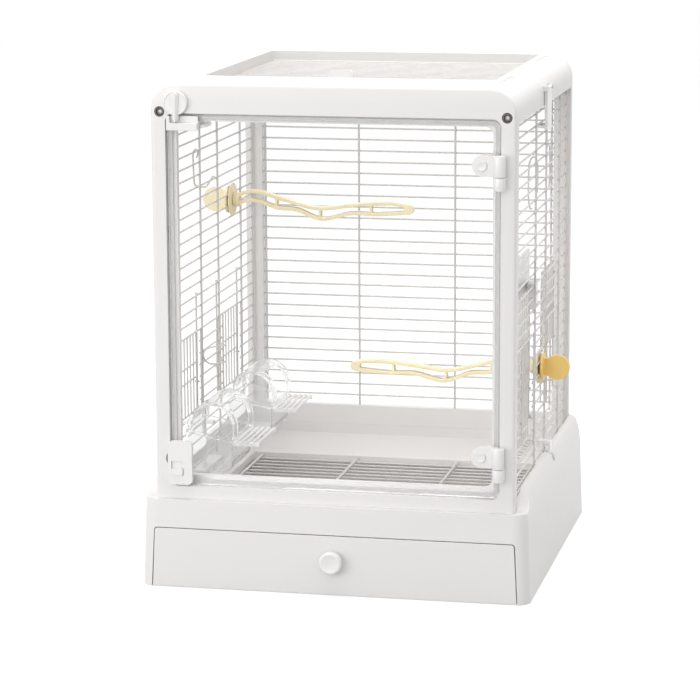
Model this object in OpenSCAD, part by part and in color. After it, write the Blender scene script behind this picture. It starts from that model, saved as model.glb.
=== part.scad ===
// Bird cage with a clear front door, wire sides, a lifting roof grille and a pull-out drawer.
// X runs to the right, Y to the rear and Z up. The origin is the middle of the base's underside.

/* [Overall] */
// Width of the base
base_w = 405; // [400:1:420]
// Depth of the base
base_d = 413; // [410:1:430]
// Height of the roof above the surface that the cage stands on
cage_h = 520; // [510:1:560]
// Width over the front and rear frames
frame_w = 372; // [366:1:374]
// Depth over the front and rear frames
frame_d = 397; // [390:1:400]

/* [Base] */
// Height of the ledge that the upper cage stands on
ledge_z = 92.5; // [88:0.5:96]
// Height of the side and rear walls round the upper cage
wall_top = 112; // [108:1:118]
// Radius of the base's upright corners
base_corner_r = 16; // [12:1:20]
// Width of the side walls' rounded top edge
shoulder_r = 10; // [6:1:12]
// Height of the side walls' rounded top edge
shoulder_h = 40; // [12:1:44]
// How far each outer wall leans in over its height
base_draft = 2.5; // [1:0.5:4]
// Height of the hopper's lower mouth, where the grate lies
mouth_z = 66; // [64:0.5:68]
// Height where the hopper's slopes meet its upright band
band_z = 81; // [78:1:84]
// How far the hopper's slopes draw in on each side
hopper_run = 10; // [6:1:14]
// How far the hopper's rear slope draws in
hopper_rear_run = 48; // [20:1:56]
// Thickness of the base floor
floor_t = 2.5; // [2:0.5:4]
// Wall thickness of the base moulding
base_t = 3; // [2.5:0.5:4]

/* [Drawer] */
// Width of the drawer front at its foot
drawer_w = 380; // [370:1:382]
// Height of the top of the drawer front
drawer_h = 62; // [58:1:63]
// Dark gap round the drawer front
drawer_gap = 1; // [0.6:0.1:1.5]
// Thickness of the tray walls
tray_t = 2.5; // [2:0.5:4]
// Radius of the round drawer knob
knob_r = 12; // [9:0.5:15]
// Height of the drawer knob's centre
knob_z = 36; // [30:1:42]

/* [Upright frames] */
// Thickness of the front frame, front to rear
front_t = 16.5; // [14:0.5:18]
// Thickness of the rear frame
rear_t = 12; // [10:0.5:14]
// Radius of the frame's top corners
corner_r = 26; // [20:1:32]
// Width of the front frame's posts
post_w = 15; // [14:0.5:17]
// Height of the front frame's top bar
top_bar = 30.5; // [28:0.5:34]
// Height of the front frame's bottom rail
bottom_rail = 13.5; // [12:0.5:16]
// Width of the stop lip behind the door
lip_w = 9.5; // [8:0.5:11]
// Depth of the rebate that the door closes into
rebate_d = 9; // [8:0.5:10]
// Width of the rear frame's posts
rear_post_w = 19; // [17:0.5:22]

/* [Roof] */
// Height of the roof cover's side skirts
skirt_h = 36; // [34:1:40]
// Wall thickness of the roof cover
roof_t = 2.8; // [2:0.1:3]
// Depth of the plain band at the front of the roof
front_band = 80; // [70:1:90]
// Width of the roof opening
hatch_w = 304; // [290:2:310]
// Depth of the roof opening
hatch_d = 298; // [280:1:299]

/* [Wires] */
// Distance between the level wires
pitch = 12.8; // [12.6:0.1:13]
// Diameter of the level wires
wire_d = 2; // [1.8:0.1:2.2]
// Diameter of the upright wires
upright_d = 2.4; // [2:0.1:2.6]
// Distance between the rear panel's inner upright wires
rear_pitch = 110.6; // [100:0.2:120]
// Distance of the side panels from the frame's side face
panel_inset = 6; // [5.8:0.1:6.5]
// Distance between the wires of the floor grate
grate_pitch = 15; // [12:0.5:17]

/* [Feeder doors] */
// Distance between a feeder door's guide wires
guide_span = 89; // [84:1:90]
// Middle of the front doorways from the cage's middle
front_doorway_y = -85.5; // [-88:0.5:-83]
// Middle of the rear doorways from the cage's middle
rear_doorway_y = 87.5; // [85:0.5:90]
// Height of a feeder door
feeder_door_h = 85; // [80:1:86]
// How far the rear door on the right is raised
raised_by = 54; // [0:1:80]

/* [Front door] */
// Gap between the door and the frame opening
door_gap = 2; // [1.5:0.1:2.5]
// Thickness of the clear sheet
sheet_t = 3; // [2:0.5:4]
// Depth of the door's rim
rim_d = 5.5; // [4.5:0.5:6]
// Width of the door's rim
rim_w = 4.5; // [3:0.5:6]
// Height of the lower hinge leaf's foot above the ledge
lower_hinge_rise = 47.1; // [38:0.1:58]
// Drop from the roof to the upper hinge leaf's foot
upper_hinge_drop = 87; // [80:1:100]
// Radius of the hinge barrels
barrel_r = 6; // [5:0.5:6.5]
// Radius of the lift-off hinge pins
pin_r = 2.5; // [2:0.1:3]
// Running clearance of a pin in its bore, on the radius
run_gap = 0.05; // [0.03:0.01:0.08]

/* [Perches and cups] */
// Length of a perch bar
perch_len = 201; // [170:1:220]
// Thickness of a perch rail, seen from the front
rail_t = 3.8; // [3:0.1:4.4]
// Depth of a perch bar, front to rear
perch_depth = 9; // [7:0.5:12]
// Place of the upper perch, front to rear
upper_perch_y = 94; // [84:1:100]
// Place of the lower perch, front to rear
lower_perch_y = 14; // [12:1:18]
// Radius of the thumb knobs' round paddles
paddle_r = 13.5; // [11:0.5:15]
// Width of a feeder cup, front to rear
cup_w = 78; // [70:1:80]
// Depth of a cup from the side panel inwards
cup_d = 51; // [46:1:54]
// Height of a cup's trough
cup_h = 37; // [32:1:40]
// Wall thickness of the clear cups
cup_t = 1.8; // [1.4:0.1:2.4]

/* [Hidden] */

fine = 64;          // Facets of the large curves
small = 32;         // Facets of the small curves
eps = 1;            // How far a cut runs past a face
fit = 0.3;          // Clearance between pieces that don't touch
snug = 0.1;         // Clearance between pieces that rest on each other
white = "whitesmoke";
wire_white = "gainsboro";
yellow = "khaki";
clear = [0.85, 0.92, 0.95, 0.45];

// Places of the frames and panels
front_y = -frame_d / 2;
frame_back_y = front_y + front_t;
rear_y = frame_d / 2;
rear_front_y = rear_y - rear_t;
skirt_z = cage_h - skirt_h;
panel_x = frame_w / 2 - panel_inset;
upright_off = (wire_d + upright_d) / 2 - 0.5;
panel_top = skirt_z + 1.5;
wire_z0 = ledge_z + 7.5;
right_shift = pitch / 2;
upright_ys = [frame_back_y + 4, -41, 31, 130, rear_front_y - 4];
rear_half = frame_w / 2 - rear_post_w - fit;
rear_upright_xs = [-rear_half + 2.7, -rear_pitch / 2, rear_pitch / 2, rear_half - 2.7];

// The front door's opening and its sheet
open_w = frame_w - 2 * post_w;
open_z0 = ledge_z + bottom_rail;
open_z1 = cage_h - top_bar;
open_r = 9;
door_w = open_w - 2 * door_gap;
door_z0 = open_z0 + door_gap;
door_z1 = open_z1 - door_gap;
door_y0 = front_y + 2;
door_left = -door_w / 2;

// The hinge line, the knob and the latch
hinge_x = open_w / 2 - 0.5;
hinge_y = front_y - barrel_r - 0.7;
lower_hinge_z = ledge_z + lower_hinge_rise;
upper_hinge_z = cage_h - upper_hinge_drop;
leaf_h = 21.5;
leaf_len = 28;
leaf_t = 6.7;
bracket_h = 13.2;
turn_x = door_left + 10;
turn_z = cage_h - 20;
turn_r = 12.2;
pointer_reach = 19;
pointer_w = 8;
catch_w = 32;
catch_h = 14.5;
catch_y0 = door_y0 - 6.5;
groove_z = turn_z - pointer_reach - 0.7;
latch_w = 25.5;
latch_h = 45.4;
latch_x0 = -open_w / 2 - 1;
latch_z0 = door_z0 + 0.5;
latch_y0 = front_y - 6;
bolt_travel = 7;
slot_w = 12;
slot_z0 = latch_z0 + 10;
slot_h = 14.5;
bolt_x = latch_x0 + 10;
bolt_half = 3;
bolt_t = 4;
notch_z1 = slot_z0 + slot_h;

// The roof opening and its grille
hatch_y0 = front_y + front_band;
hatch_y1 = hatch_y0 + hatch_d;
rim_wall = 5;
grille_lip = 6;
lip_z = cage_h - 14.5;
rim_z = cage_h - 17;
grille_x_wire = 1.8;
grille_z = lip_z + snug + upright_d + grille_x_wire / 2 - 0.4;
grille_rod_d = 3;
grille_y1 = hatch_y1 - grille_rod_d / 2 - fit;
grille_count = floor((grille_y1 - hatch_y0 - 1) / pitch);

// The hopper and the drawer
hopper_x = panel_x - 3;
hopper_y0 = frame_back_y;
hopper_y1 = rear_front_y;
mouth_x = hopper_x - hopper_run;
mouth_y0 = hopper_y0 + hopper_run + 5;
mouth_y1 = hopper_y1 - hopper_rear_run;
deck_z = 58;
drawer_front_y = -base_d / 2 + 1.1;
drawer_panel_t = 5;
tray_x = drawer_w / 2 - 5;
cavity_x = tray_x + 2;
tray_y1 = base_d / 2 - 18;
grate_z = mouth_z - 2.5;
grate_rod_d = 3;
grate_rod_xs = [-mouth_x + 10, -47, 68, mouth_x - 10];

// Levels of the feeder doorways, counted in wires from the lowest one
sill_level = 4;
lintel_level = 11;
guide_top_level = 14;
guide_ring_z = 30;
guide_off = 4.4;
ring_r = 1.9;
ring_wire = 0.7;
feeder_wire = 1.6;
door_side_off = 2.4;
jamb_off = 4;

// The clips
roof_clip_y = 0;
roof_clip_w = 30;
base_clip_y = 7.5;
base_clip_w = 10;
clip_t = 3;
clip_pin_r = 1.2;
knuckle_r = 1.8;
roof_clip_pivot_z = cage_h - 18;
roof_clip_pivot_x = frame_w / 2 + knuckle_r + 0.4;
base_clip_pivot_x = frame_w / 2 + 6;
base_clip_pivot_z = wall_top - 6;
ear_w = 2.6;
roof_wire_level = floor((skirt_z - 12 - level(0, right_shift)) / pitch);
left_base_level = 2;
right_base_level = 1;

// The cups, from the left panel inwards
cup_x0 = -panel_x + wire_d / 2 + upright_off + upright_d / 2 + 1;
cup_x1 = cup_x0 + cup_d;
cup_z1 = wire_z0 + 3 * pitch + 1;
hood_r = (cup_d + 1) / 2;
ladder_len = 28;
ladder_rungs = 5;

// The perches, each with its stud midway between two wires
upper_stud_z = level(20) + pitch / 2;
lower_stud_z = level(7, right_shift) + pitch / 2;
stud_r = 2.5;
stud_end = 7;
washer_r = 18.5;
washer_t = 2;
flange_r = 15;
perch_x = panel_x - wire_d / 2 - fit - washer_t - fit;

// Height of a level wire
function level(k, shift = 0) = wire_z0 + shift + k * pitch;
function sill_z(shift) = level(sill_level, shift);
function feeder_z(shift) = sill_z(shift) + wire_d / 2 + fit + ring_wire;
function top_level(shift) = floor((panel_top - level(0, shift)) / pitch);

// Solids drawn as an outline and pushed along one axis
module slab_x(x0, x1) translate([x0, 0, 0]) rotate([90, 0, 90]) linear_extrude(x1 - x0) children();
module slab_y(y0, y1) translate([0, y1, 0]) rotate([90, 0, 0]) linear_extrude(y1 - y0) children();
module slab_z(z0, z1) translate([0, 0, z0]) linear_extrude(z1 - z0) children();
module box(low, high) translate(low) cube(high - low);
module rod_x(x0, x1, y, z, d) translate([x0, y, z]) rotate([0, 90, 0]) cylinder(d = d, h = x1 - x0, $fn = small);
module rod_y(y0, y1, x, z, d) translate([x, y0, z]) rotate([-90, 0, 0]) cylinder(d = d, h = y1 - y0, $fn = small);
module rod_z(z0, z1, x, y, d) translate([x, y, z0]) cylinder(d = d, h = z1 - z0, $fn = small);

// A rectangle with round corners, from its low corner to its high corner
module rounded(low, high, r) {
    translate([low[0] + r, low[1]]) square([high[0] - low[0] - 2 * r, high[1] - low[1]]);
    translate([low[0], low[1] + r]) square([high[0] - low[0], high[1] - low[1] - 2 * r]);
    for (x = [low[0] + r, high[0] - r], y = [low[1] + r, high[1] - r])
        translate([x, y]) circle(r = r, $fn = fine);
}

// The frame's outer outline down to height z0, drawn in by inset
module arch_outline(z0, inset = 0) {
    half = frame_w / 2 - inset;
    top = cage_h - inset;
    r = corner_r - inset;
    translate([-half, z0]) square([2 * half, top - r - z0]);
    translate([-half + r, z0]) square([2 * half - 2 * r, top - z0]);
    for (side = [-1, 1])
        translate([side * (half - r), top - r]) circle(r = r, $fn = fine);
}

// Base
module base_side_outline() {
    top_half = base_w / 2 - base_draft;
    edge = [for (t = [0 : 7.5 : 90])
        [top_half - shoulder_r + shoulder_r * cos(t), wall_top - shoulder_h + shoulder_h * sin(t)]];
    polygon(concat([[-base_w / 2, 0], [base_w / 2, 0]], edge,
        [for (i = [len(edge) - 1 : -1 : 0]) [-edge[i][0], edge[i][1]]]));
}

module base_depth_outline() {
    rise_y = front_y + 8;
    rise_run = 40;
    rise = wall_top - ledge_z;
    polygon(concat(
        [[-base_d / 2, 0], [-base_d / 2 + base_draft, ledge_z]],
        [for (t = [0 : 0.125 : 1]) [rise_y + rise_run * t, ledge_z + rise * (1 - cos(180 * t)) / 2]],
        [[base_d / 2 - base_draft - 3, wall_top], [base_d / 2 - base_draft, wall_top - 3],
            [base_d / 2, 0]]));
}

module hopper_cut() {
    slope_run_front = mouth_y0 - hopper_y0;
    slope_run_rear = hopper_y1 - mouth_y1;
    box([-hopper_x, hopper_y0, band_z], [hopper_x, hopper_y1, ledge_z + eps]);
    intersection() {
        slab_y(hopper_y0, hopper_y1)
            polygon([[-mouth_x, mouth_z], [mouth_x, mouth_z], [hopper_x, band_z], [-hopper_x, band_z]]);
        slab_x(-hopper_x, hopper_x)
            polygon([[mouth_y0, mouth_z], [mouth_y1, mouth_z], [mouth_y1 + slope_run_rear, band_z],
                [mouth_y0 - slope_run_front, band_z]]);
    }
    box([-mouth_x, mouth_y0, deck_z - eps], [mouth_x, mouth_y1, mouth_z]);
}

module drawer_cut() {
    half = drawer_w / 2 + drawer_gap;
    slab_y(-base_d / 2 - eps, drawer_front_y + drawer_panel_t + drawer_gap)
        polygon([[-half, -eps], [half, -eps], [half - 3, drawer_h + drawer_gap],
            [-half + 3, drawer_h + drawer_gap]]);
    box([-cavity_x, -base_d / 2, floor_t], [cavity_x, tray_y1 + 6, deck_z]);
}

// The hollow of the moulding between its outer walls, the drawer's housing and the hopper
module core_cut() {
    x1 = base_w / 2 - base_draft - base_t - 1;
    y0 = -base_d / 2 + 12;
    y1 = base_d / 2 - base_draft - base_t;
    difference() {
        box([-x1, y0, -eps], [x1, y1, ledge_z - base_t]);
        box([-cavity_x - base_t, y0 - eps, -2 * eps], [cavity_x + base_t, tray_y1 + 6 + base_t, deck_z + base_t]);
        box([-hopper_x - base_t, hopper_y0 - base_t, 0], [hopper_x + base_t, hopper_y1 + base_t, ledge_z]);
    }
}

module base_shell() {
    seat_x = frame_w / 2 + fit;
    color(white) union() {
        difference() {
            intersection() {
                slab_y(-base_d / 2, base_d / 2) base_side_outline();
                slab_x(-base_w / 2, base_w / 2) base_depth_outline();
                slab_z(0, wall_top)
                    rounded([-base_w / 2, -base_d / 2], [base_w / 2, base_d / 2], base_corner_r);
            }
            box([-seat_x, -base_d / 2 - eps, ledge_z], [seat_x, rear_y + fit, wall_top + eps]);
            hopper_cut();
            drawer_cut();
            core_cut();
            for (side = [-1, 1])
                base_clip_notch(side);
        }
        for (x = grate_rod_xs, y = [mouth_y0, mouth_y1 - 4])
            box([x - 5, y - (y > 0 ? 0 : 1), deck_z], [x + 5, y + (y > 0 ? 5 : 4), grate_z - grate_rod_d / 2 - snug]);
    }
}

module base_clip_notch(side) {
    half = base_clip_w / 2 + fit;
    x0 = frame_w / 2 + 2.5;
    x1 = base_w / 2 + eps;
    box([side > 0 ? x0 : -x1, base_clip_y - half, base_clip_pivot_z - 5],
        [side > 0 ? x1 : -x0, base_clip_y + half, wall_top + eps]);
    rod_y(base_clip_y - half - ear_w, base_clip_y + half + ear_w, side * base_clip_pivot_x, base_clip_pivot_z,
        2 * (clip_pin_r + run_gap));
}

module floor_grate() {
    reach = mouth_x - 8.5;
    y1 = mouth_y1 - 11;
    count = floor((y1 - mouth_y0 - 4) / grate_pitch);
    wire_z = grate_z - (grate_rod_d + wire_d) / 2 + 0.5;
    color(wire_white) union() {
        for (k = [0 : count])
            rod_x(-reach, reach, y1 - k * grate_pitch, wire_z, wire_d);
        for (x = grate_rod_xs)
            rod_y(mouth_y0 + 0.5, mouth_y1 - 0.5, x, grate_z, grate_rod_d);
    }
}

// Drawer
module drawer() {
    y0 = drawer_front_y;
    y1 = y0 + drawer_panel_t;
    half = drawer_w / 2;
    z0 = floor_t + fit;
    color(white) difference() {
        union() {
            slab_y(y0, y1) polygon([[-half, 0.6], [half, 0.6], [half - 3, drawer_h], [-half + 3, drawer_h]]);
            box([-tray_x, y1 - eps, z0], [tray_x, tray_y1, deck_z - 2]);
        }
        box([-tray_x + tray_t, y1 + tray_t - eps, z0 + tray_t], [tray_x - tray_t, tray_y1 - tray_t, drawer_h + eps]);
        rod_y(y0 - eps, y1 + tray_t, 0, knob_z, 6);
    }
}

module drawer_knob() {
    neck = 3.5;
    head = 8;
    y_face = drawer_front_y;
    color(white) difference() {
        union() {
            rod_y(y_face - snug, y_face + drawer_panel_t, 0, knob_z, 6 - 2 * run_gap);
            translate([0, y_face - snug, knob_z]) rotate([90, 0, 0]) rotate_extrude($fn = fine)
                polygon([[0, 0], [6.5, 0], [5, neck], [knob_r - 2, neck], [knob_r, neck + 2],
                    [knob_r, neck + head - 2], [knob_r - 1.5, neck + head], [0, neck + head]]);
        }
        translate([0, y_face - snug - neck - head - 32, knob_z]) sphere(r = 33.4, $fn = fine);
    }
}

// Upright frames
module front_frame() {
    opening_half = open_w / 2;
    lip_half = opening_half - lip_w;
    screw_x = frame_w / 2 - 9.4;
    color(white) difference() {
        slab_y(front_y, frame_back_y) arch_outline(ledge_z);
        slab_y(front_y - eps, front_y + rebate_d)
            rounded([-opening_half, open_z0], [opening_half, open_z1], open_r);
        slab_y(front_y, frame_back_y + eps)
            rounded([-lip_half, open_z0 + lip_w + 1], [lip_half, open_z1 - lip_w + 1], open_r - 1);
        // Bearing of the turn knob
        rod_y(front_y - eps, frame_back_y + eps, turn_x, turn_z, 2 * (3 + run_gap));
        // Finger notch beside the latch
        rod_y(front_y - eps, front_y + 6, -opening_half + 5, latch_z0 + latch_h / 2 + 3, 19);
        // Pocket for the latch bolt
        box([bolt_x - 4, door_y0 - 0.4, open_z0 - 4], [bolt_x + 4, door_y0 + bolt_t + 0.7, open_z0 + eps]);
        for (side = [-1, 1]) {
            rod_y(front_y - eps, frame_back_y + eps, side * screw_x, screw_z(), 4.6);
            rod_y(front_y - eps, front_y + 3, side * screw_x, screw_z(), 10.6);
        }
    }
}
function screw_z() = cage_h - 29;

module rear_frame() {
    half = frame_w / 2 - rear_post_w;
    color(white) slab_y(rear_front_y, rear_y) difference() {
        arch_outline(ledge_z);
        rounded([-half, ledge_z + 21.5], [half, open_z1], open_r - 3);
    }
}

module frame_screws() {
    for (side = [-1, 1]) {
        x = side * (frame_w / 2 - 9.4);
        color("dimgray") difference() {
            union() {
                rod_y(front_y + 0.3, front_y + 3, x, screw_z(), 10);
                rod_y(front_y + 2.5, frame_back_y + 7, x, screw_z(), 4);
            }
            rod_y(front_y - eps, front_y + 1.6, x, screw_z(), 4.4);
        }
    }
}

// Roof
module roof_cover() {
    inner_half = hatch_w / 2;
    screw_x = frame_w / 2 - 9.4;
    color(white) difference() {
        union() {
            difference() {
                slab_y(frame_back_y, rear_front_y) arch_outline(skirt_z);
                slab_y(frame_back_y - eps, rear_front_y + eps) arch_outline(skirt_z - eps, roof_t);
                // The outline's corner circles reach below the skirts
                box([-frame_w, frame_back_y - eps, skirt_z - 2 * corner_r], [frame_w, rear_front_y + eps, skirt_z]);
            }
            box([-inner_half - rim_wall, hatch_y0 - rim_wall, rim_z],
                [inner_half + rim_wall, min(hatch_y1 + rim_wall, rear_front_y), cage_h - 1]);
            for (side = [-1, 1]) {
                x0 = side > 0 ? screw_x - 5 : -frame_w / 2 + 1;
                box([x0, frame_back_y, screw_z() - 4.5], [x0 + 13.4, frame_back_y + 9, screw_z() + 5]);
                for (end = [-1, 1])
                    roof_clip_ear(side, end);
            }
        }
        box([-inner_half, hatch_y0, lip_z], [inner_half, hatch_y1, cage_h + eps]);
        box([-inner_half + grille_lip, hatch_y0 + grille_lip, rim_z - eps],
            [inner_half - grille_lip, hatch_y1 - grille_lip, cage_h]);
        rod_x(-inner_half - rim_wall + 1, inner_half + rim_wall - 1, grille_y1, grille_z, grille_rod_d + 2 * run_gap);
        for (side = [-1, 1]) {
            rod_y(frame_back_y - eps, frame_back_y + 8, side * screw_x, screw_z(), 4 + 2 * run_gap);
            rod_y(roof_clip_y - roof_clip_w / 2 - 3.2, roof_clip_y + roof_clip_w / 2 + 3.2, side * roof_clip_pivot_x,
                roof_clip_pivot_z, 2 * (clip_pin_r + run_gap));
            for (y = [hatch_y0 - 28, hatch_y1 - 85])
                slab_z(cage_h - 1.6, cage_h + eps) rounded([side * 163 - 4, y], [side * 163 + 4, y + 75], 3.9);
        }
    }
}

module roof_clip_ear(side, end) {
    y = roof_clip_y + end * (roof_clip_w / 2 + fit + ear_w / 2);
    x0 = side > 0 ? frame_w / 2 - 3 : -roof_clip_pivot_x - 2.6;
    x1 = side > 0 ? roof_clip_pivot_x + 2.6 : -frame_w / 2 + 3;
    box([x0, y - ear_w / 2, roof_clip_pivot_z - 2.6], [x1, y + ear_w / 2, roof_clip_pivot_z + 2.6]);
}

module roof_grille() {
    half = hatch_w / 2 - 1.5;
    y0 = grille_y1 - grille_count * pitch;
    rod_z = lip_z + snug + upright_d / 2;
    color(wire_white) union() {
        for (k = [1 : grille_count])
            rod_x(-half, half, grille_y1 - k * pitch, grille_z, grille_x_wire);
        rod_x(-half - 4.5, half + 4.5, grille_y1, grille_z, grille_rod_d);
        for (x = [-half + 1.5, -half / 2, 0, half / 2, half - 1.5])
            rod_y(y0 - 1, grille_y1, x, rod_z, upright_d);
    }
}

module roof_grip() {
    x0 = -39;
    x1 = -12;
    y = grille_y1 - 17 * pitch;
    z0 = grille_z + grille_x_wire / 2 + 0.05;
    color(white) union() {
        slab_y(y, y + 3) rounded([x0, z0], [x1, cage_h], 3);
        box([x0, y - pitch, z0], [x1, y + 3, z0 + 1.5]);
    }
}

// Wire panels
module side_panel(shift) {
    top = top_level(shift);
    y0 = frame_back_y + snug;
    y1 = rear_front_y - snug;
    color(wire_white) union() {
        for (k = [0 : top]) {
            if (k > sill_level && k < lintel_level) {
                rod_y(y0, front_doorway_y - guide_span / 2 + jamb_off, 0, level(k, shift), wire_d);
                rod_y(front_doorway_y + guide_span / 2 - jamb_off, rear_doorway_y - guide_span / 2 + jamb_off,
                    0, level(k, shift), wire_d);
                rod_y(rear_doorway_y + guide_span / 2 - jamb_off, y1, 0, level(k, shift), wire_d);
            } else
                rod_y(y0, y1, 0, level(k, shift), wire_d);
        }
        for (y = upright_ys)
            rod_z(ledge_z + snug, panel_top, upright_off, y, upright_d);
        for (middle = [front_doorway_y, rear_doorway_y], side = [-1, 1]) {
            jamb_y = middle + side * (guide_span / 2 - jamb_off);
            rod_z(sill_z(shift), level(lintel_level, shift), upright_off - 0.2, jamb_y, wire_d);
        }
    }
}

module left_panel() translate([-panel_x, 0, 0]) side_panel(0);
module right_panel() translate([panel_x, 0, 0]) side_panel(right_shift);

// Four bent guide wires for the feeder doors, each standing off the side panel on its two ends
module door_guides(shift) {
    z0 = sill_z(shift);
    z1 = level(guide_top_level, shift);
    color(wire_white)
        for (middle = [front_doorway_y, rear_doorway_y], side = [-1, 1]) {
            guide_y = middle + side * guide_span / 2;
            union() {
                rod_z(z0, z1, -guide_off, guide_y, wire_d);
                for (z = [z0, z1])
                    rod_x(-guide_off - wire_d / 2, -wire_d / 2 - snug, guide_y, z, wire_d);
            }
        }
}

module left_guides() translate([-panel_x, 0, 0]) door_guides(0);
module right_guides() translate([panel_x, 0, 0]) door_guides(right_shift);

module rear_panel() {
    half = rear_half;
    y = rear_y - 5.5;
    color(wire_white) union() {
        for (k = [2 : floor((open_z1 - 2 - level(0)) / pitch)])
            rod_x(-half, half, y, level(k), wire_d);
        for (x = rear_upright_xs) {
            corner_gap = abs(x) > half - upright_d - 2 ? 3 : snug;
            rod_z(ledge_z + 21.5 + corner_gap, open_z1 - corner_gap, x, y - upright_off, upright_d);
        }
    }
}

// Feeder door: a small wire gate with a ring at each corner that runs on the panel's guide wires
module feeder_door(side_x, middle, shift, lift) {
    half = guide_span / 2 - door_side_off;
    bars = 7;
    translate([side_x - guide_off, middle, feeder_z(shift) + lift]) color(wire_white) union() {
        for (side = [-1, 1]) {
            rod_z(-wire_d / 2, feeder_door_h + wire_d / 2, 0, side * half, wire_d);
            for (z = [0, guide_ring_z])
                translate([0, side * guide_span / 2, z]) difference() {
                    cylinder(r = ring_r + ring_wire, h = 2 * ring_wire, center = true, $fn = small);
                    cylinder(r = ring_r - ring_wire, h = 4 * ring_wire, center = true, $fn = small);
                }
        }
        for (z = [0, feeder_door_h])
            rod_y(-half, half, 0, z, wire_d);
        for (k = [1 : bars - 1])
            rod_z(0, feeder_door_h, 0, -half + 2 * half * k / bars, feeder_wire);
        for (z = [34, 50])
            rod_y(-half, half, -1.3, feeder_door_h - z, feeder_wire);
    }
}
module feeder_door_left_front() feeder_door(-panel_x, front_doorway_y, 0, 0);
module feeder_door_left_rear() feeder_door(-panel_x, rear_doorway_y, 0, 0);
module feeder_door_right_front() feeder_door(panel_x, front_doorway_y, right_shift, 0);
module feeder_door_right_rear() feeder_door(panel_x, rear_doorway_y, right_shift, raised_by);

// Front door
module front_door() {
    r = open_r - door_gap;
    color(clear) difference() {
        slab_y(door_y0, door_y0 + rim_d) rounded([door_left, door_z0], [-door_left, door_z1], r);
        slab_y(door_y0 + sheet_t, door_y0 + rim_d + eps)
            rounded([door_left + rim_w, door_z0 + rim_w], [-door_left - rim_w, door_z1 - rim_w], r - 3);
        // Notch that the latch bolt slides in
        box([bolt_x - bolt_half - fit, door_y0 - eps, door_z0 - eps],
            [bolt_x + bolt_half + fit, door_y0 + rim_d + eps, notch_z1]);
    }
}

module door_leaf(z0) {
    y1 = door_y0 - 0.05;
    mid = z0 + (leaf_h + fit) / 2;
    cap_x = hinge_x - leaf_len + leaf_h / 2;
    color(white) difference() {
        union() {
            slab_y(y1 - leaf_t, y1) {
                translate([cap_x, z0 + fit]) square([hinge_x - 1 - cap_x, leaf_h - fit]);
                translate([cap_x, mid]) circle(d = leaf_h - fit, $fn = fine);
            }
            rod_z(z0 + fit, z0 + leaf_h, hinge_x, hinge_y, 2 * barrel_r);
        }
        rod_z(z0 - eps, z0 + 17, hinge_x, hinge_y, 2 * (pin_r + run_gap));
        rod_y(y1 - leaf_t - eps, y1 - leaf_t + 2, cap_x - 1, mid, 11);
    }
}
module door_leaf_upper() door_leaf(upper_hinge_z);
module door_leaf_lower() door_leaf(lower_hinge_z);

module leaf_screw_caps() {
    cap_x = hinge_x - leaf_len + leaf_h / 2 - 1;
    y = door_y0 - 0.05 - leaf_t;
    for (z0 = [lower_hinge_z, upper_hinge_z])
        color(white) difference() {
            rod_y(y - 1.5, y + 2 - 0.05, cap_x, z0 + (leaf_h + fit) / 2, 10.8);
            translate([cap_x, y - 21, z0 + (leaf_h + fit) / 2]) sphere(r = 20.2, $fn = fine);
        }
}

module frame_hinge(z0) {
    z = z0 - bracket_h;
    color(white) union() {
        rod_z(z, z0, hinge_x, hinge_y, 2 * barrel_r);
        rod_z(z0 - eps, z0 + 16, hinge_x, hinge_y, 2 * pin_r);
        box([hinge_x, hinge_y, z], [hinge_x + barrel_r, front_y, z0]);
    }
}
module frame_hinge_upper() frame_hinge(upper_hinge_z);
module frame_hinge_lower() frame_hinge(lower_hinge_z);

module catch_block() {
    x0 = door_left + 0.4;
    z1 = door_z1 - 0.5;
    z0 = z1 - catch_h;
    color(white) difference() {
        slab_y(catch_y0, door_y0 - 0.05) rounded([x0, z0], [x0 + catch_w, z1], 1.2);
        box([x0 + 3.6, catch_y0 - eps, groove_z], [x0 + catch_w + eps, catch_y0 + 5, z1 + eps]);
    }
}

module turn_knob() {
    y1 = front_y - fit;
    color(white) union() {
        rod_y(y1 - 4.5, y1, turn_x, turn_z, 2 * turn_r);
        rod_y(y1 - eps, frame_back_y + 3, turn_x, turn_z, 6);
        slab_y(y1 - 7.5, y1 - 0.4)
            rounded([turn_x - pointer_w / 2, turn_z - pointer_reach], [turn_x + pointer_w / 2, turn_z + turn_r - 1], 1.5);
    }
}

module knob_retainer() {
    color(white) difference() {
        rod_y(frame_back_y + 0.2, frame_back_y + 2.4, turn_x, turn_z, 14);
        rod_y(frame_back_y, frame_back_y + 3, turn_x, turn_z, 6 + 2 * run_gap);
    }
}

module latch_body() {
    slot_x0 = bolt_x - slot_w / 2;
    color(white) difference() {
        union() {
            slab_y(latch_y0, front_y - fit) rounded([latch_x0, latch_z0], [latch_x0 + latch_w, latch_z0 + latch_h], 5);
            box([door_left + 1, front_y - fit - 0.5, latch_z0 + 1], [latch_x0 + latch_w - 1, door_y0 - 0.05, latch_z0 + latch_h - 4]);
        }
        box([slot_x0 - fit, latch_y0 - eps, slot_z0], [slot_x0 + slot_w + fit, latch_y0 + 4.4, slot_z0 + slot_h]);
        box([bolt_x - bolt_half - fit, latch_y0 + 3.4, latch_z0 - eps], [bolt_x + bolt_half + fit, door_y0, notch_z1]);
    }
}

module latch_bolt() {
    top = slot_z0 + slot_h - bolt_travel - fit;
    y1 = door_y0 + bolt_t;
    color(white) union() {
        box([bolt_x - slot_w / 2, latch_y0 - 1.8, slot_z0 + fit], [bolt_x + slot_w / 2, latch_y0 + 4, top]);
        box([bolt_x - bolt_half, latch_y0 + 3.8, door_z0 + 1], [bolt_x + bolt_half, y1, top]);
        box([bolt_x - bolt_half, door_y0 + 0.4, open_z0 - 3], [bolt_x + bolt_half, y1, door_z0 + 2]);
    }
}

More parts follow.
